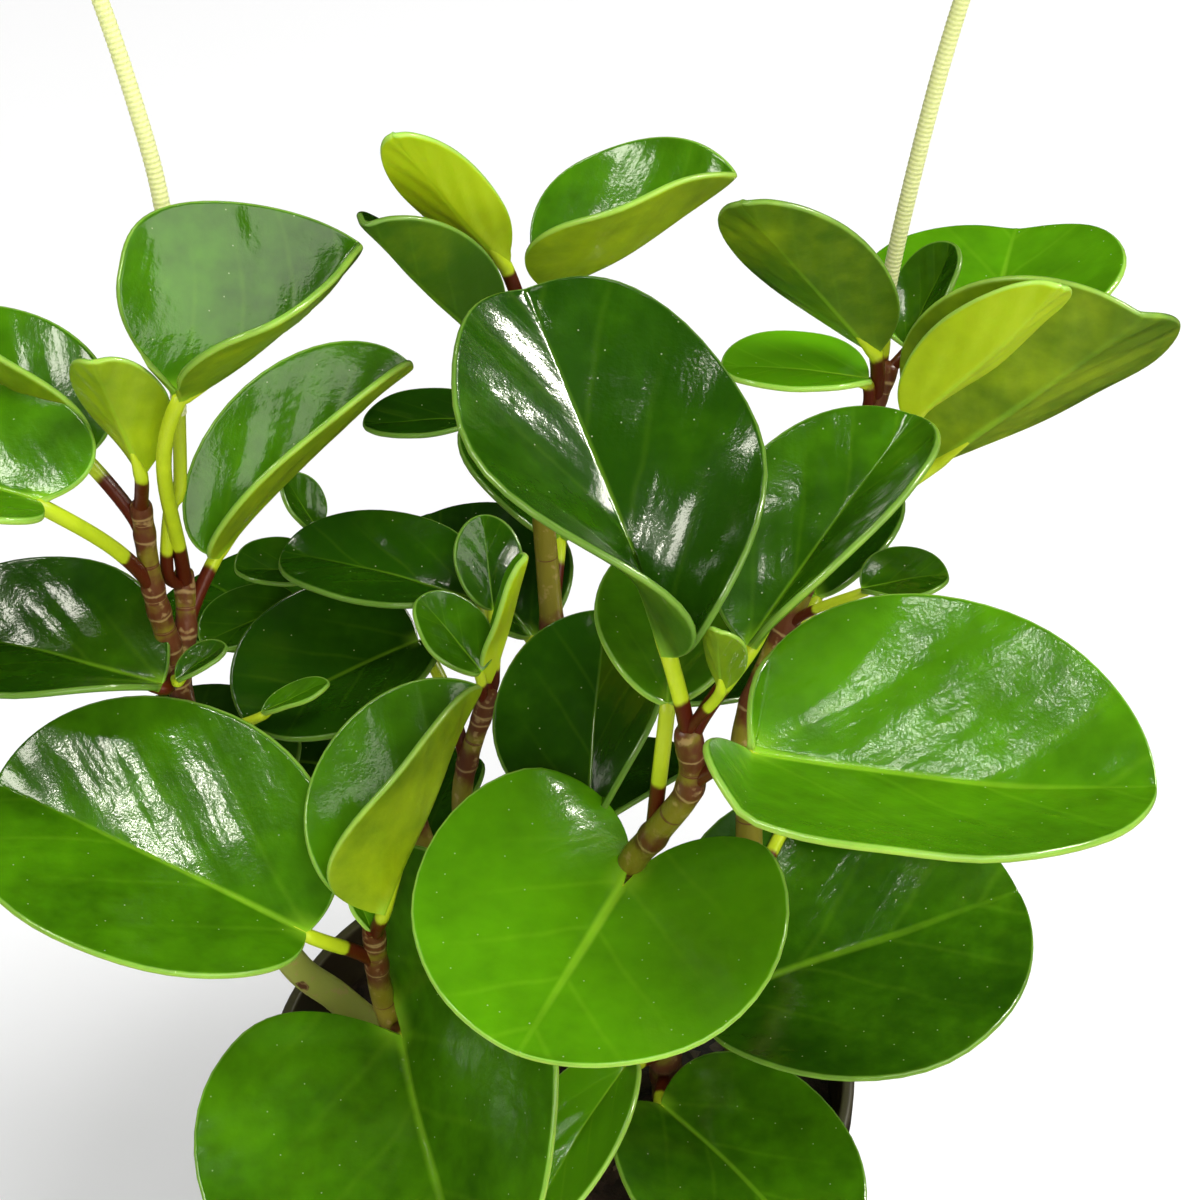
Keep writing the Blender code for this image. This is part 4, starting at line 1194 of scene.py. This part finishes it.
class PLANT_OT_pot(bpy.types.Operator):
    """Build the thin plastic pot with its rim, raised floor ring and drain holes"""
    bl_idname = "plant.pot"
    bl_label = "Pot"

    def execute(self, context):
        look = pot_material(context.scene.plant.pot)
        pot = add_piece("pot_wall", [pot_surface()], look, "pot_plastic", "pot")
        drilled(pot, drain_cutters())
        return {"FINISHED"}


class PLANT_OT_soil(bpy.types.Operator):
    """Build the crumbly soil that fills the pot"""
    bl_idname = "plant.soil"
    bl_label = "Soil"

    def execute(self, context):
        look = context.scene.plant.soil
        add_piece("soil_crumbs", [soil_surface(look)], soil_material(look), "soil", "soil")
        return {"FINISHED"}


class PLANT_OT_leaves(bpy.types.Operator):
    """Build the blades of every shoot"""
    bl_idname = "plant.leaves"
    bl_label = "Leaves"

    def execute(self, context):
        look = context.scene.plant.leaf
        skin = leaf_material(look)
        for order, (name, shoot) in enumerate(SHOOTS.items()):
            draw = np.random.default_rng(LEAF_SEED + order)
            blades = [blade_surface(leaf, look, draw) for leaf in shoot["leaves"]]
            add_piece(name.replace("shoot", "leaves"), blades, skin, "foliage", name)
        return {"FINISHED"}


class PLANT_OT_stems(bpy.types.Operator):
    """Build the stems, leaf stalks and spike stalks of every shoot"""
    bl_idname = "plant.stems"
    bl_label = "Stems"

    def execute(self, context):
        skin = stem_material(context.scene.plant.stem)
        for name, shoot in SHOOTS.items():
            lines = [smooth_line(stem.points, STEM_STEP) for stem in shoot["stems"]]
            joints = [leaf.node for leaf in shoot["leaves"]]
            pieces = [stem_surface(stem, line, joints)
                      for stem, line in zip(shoot["stems"], lines)]
            pieces += [stalk_surface(leaf, lines[leaf.stem]) for leaf in shoot["leaves"]]
            pieces += [spike_stalk_surface(spike, lines[spike["stem"]])
                       for spike in SPIKES.values() if spike["shoot"] == name]
            add_piece(name.replace("shoot", "stems"), pieces, skin, "foliage", name)
        return {"FINISHED"}


class PLANT_OT_spikes(bpy.types.Operator):
    """Build the two flower spikes"""
    bl_idname = "plant.spikes"
    bl_label = "Flower spikes"

    def execute(self, context):
        look = context.scene.plant.spike
        skin = spike_material(look)
        for name, spike in SPIKES.items():
            add_piece(name + "_florets", [spike_surface(spike, look)], skin, "flower_spike", name)
        return {"FINISHED"}


class PLANT_OT_stage(bpy.types.Operator):
    """Build the pale floor, the soft lights and the camera"""
    bl_idname = "plant.stage"
    bl_label = "Stage"

    def execute(self, context):
        look = context.scene.plant.stage
        context.scene.view_settings.view_transform = "Standard"
        add_floor(look)
        add_lights(look)
        add_camera(look)
        return {"FINISHED"}


def add_floor(look):
    """A wide pale floor under the pot, which the wax doesn't mirror."""
    made = finished(new_material("pale_floor")[0], Base_Color=look.floor, Roughness=0.9,
                    Emission_Color=look.floor, Emission_Strength=look.glow)
    half = FLOOR_SIDE / 2
    corners = [(-half, -half, 0), (half, -half, 0), (half, half, 0), (-half, half, 0)]
    mesh = bpy.data.meshes.new("floor")
    mesh.from_pydata(corners, [], [(0, 1, 2, 3)])
    mesh.materials.append(made)
    floor = add_object("floor", mesh)
    floor.visible_glossy = False


# Floor and lights, in metres: the lights face the middle of the plant
FLOOR_SIDE = 6.0
MIDDLE = Vector((0, 0, 0.2))
KEY_SIZE = (1.4, 1.4)
KEY_PLACE = (0.9, -0.4, 2.6)
FILL_SIZE = (1.0, 1.0)
FILL_PLACE = (0.2, -1.7, 1.3)
WHITE = (1.0, 1.0, 1.0)
WARM_WHITE = (1.0, 0.97, 0.86)

# Windows: power in watts, turn from +X towards +Y and climb in degrees, and size in metres
WINDOW_DISTANCE = 1.4
WINDOWS = (
    ("top_window", 0.7, -44, 81.5, (0.09, 0.06)),
    ("right_window", 20.0, 16, 42, (0.12, 0.40)),
    ("front_left_window", 2.0, -140, 46.5, (0.09, 0.09)),
    ("left_window", 7.0, -166, 48, (0.28, 0.50)),
    ("front_window", 12.0, -50, 36, (1.60, 0.80)),
    ("back_left_window", 1.6, 136, 58, (0.16, 0.14)),
)


def add_area_light(name, power, size, place, mirrored=False):
    """A soft oblong light that faces the middle of the plant.

    A mirrored one is slightly warm and only shows as a highlight on gloss. The others are white and
    only light what they reach.
    """
    data = bpy.data.lights.new(name, "AREA")
    data.shape = "RECTANGLE"
    data.size, data.size_y = size
    data.energy = power
    data.color = WARM_WHITE if mirrored else WHITE
    light = add_object(name, data)
    light.location = place
    light.rotation_euler = (Vector(place) - MIDDLE).to_track_quat("Z", "Y").to_euler()
    light.visible_diffuse = not mirrored
    light.visible_glossy = mirrored


def add_lights(look):
    """Even white sky light, a wide key light, a fill from the front, and windows that wax mirrors."""
    world = bpy.data.worlds.new("studio")
    world.use_nodes = True
    back = world.node_tree.nodes["Background"]
    fill(back.inputs["Color"], WHITE)
    fill(back.inputs["Strength"], look.sky)
    bpy.context.scene.world = world
    world.cycles_visibility.glossy = False
    add_area_light("key", look.key_power, KEY_SIZE, KEY_PLACE)
    add_area_light("fill", look.fill_power, FILL_SIZE, FILL_PLACE)
    for name, power, turn, climb, size in WINDOWS:
        turn, climb = radians(turn), radians(climb)
        level = WINDOW_DISTANCE * np.cos(climb)
        place = (level * np.cos(turn), level * np.sin(turn),
                 MIDDLE.z + WINDOW_DISTANCE * np.sin(climb))
        add_area_light(name, power * look.windows, size, place, mirrored=True)


def add_camera(look):
    """The camera at the photograph's place and angle."""
    data = bpy.data.cameras.new("camera")
    data.sensor_width = 36
    data.lens = data.sensor_width / 2 / tan(look.camera_field / 2)
    camera = add_object("camera", data)
    camera.location = look.camera_place
    camera.rotation_euler = (pi / 2 - look.camera_pitch, 0, 0)
    bpy.context.scene.camera = camera


OPERATORS = (PLANT_OT_stage, PLANT_OT_pot, PLANT_OT_soil, PLANT_OT_stems, PLANT_OT_leaves,
             PLANT_OT_spikes)


class PLANT_PT_sidebar(bpy.types.Panel):
    """Buttons and settings of the plant."""
    bl_label = "Potted baby rubber plant"
    bl_idname = "PLANT_PT_sidebar"
    bl_space_type = "VIEW_3D"
    bl_region_type = "UI"
    bl_category = "Plant"

    def draw(self, context):
        for operator in OPERATORS:
            self.layout.operator(operator.bl_idname)
        settings = context.scene.plant
        for part in ("leaf", "stem", "spike", "pot", "soil", "stage"):
            box = self.layout.box()
            box.label(text=part.capitalize())
            group = getattr(settings, part)
            for name in group.__annotations__:
                box.prop(group, name)


CLASSES = (PlantLeafLook, PlantStemLook, PlantSpikeLook, PlantPotLook, PlantSoilLook,
           PlantStageLook, PlantSettings, *OPERATORS, PLANT_PT_sidebar)


def register():
    """Registers the classes and puts the settings on the scene."""
    for made in CLASSES:
        bpy.utils.register_class(made)
    bpy.types.Scene.plant = PointerProperty(type=PlantSettings)


def unregister():
    """Removes the settings and the classes."""
    del bpy.types.Scene.plant
    for made in reversed(CLASSES):
        bpy.utils.unregister_class(made)


def main():
    """Builds everything in order."""
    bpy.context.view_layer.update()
    register()
    for build in (bpy.ops.plant.stage, bpy.ops.plant.pot, bpy.ops.plant.soil, bpy.ops.plant.stems,
                  bpy.ops.plant.leaves, bpy.ops.plant.spikes):
        build()


if __name__ == "__main__":
    main()
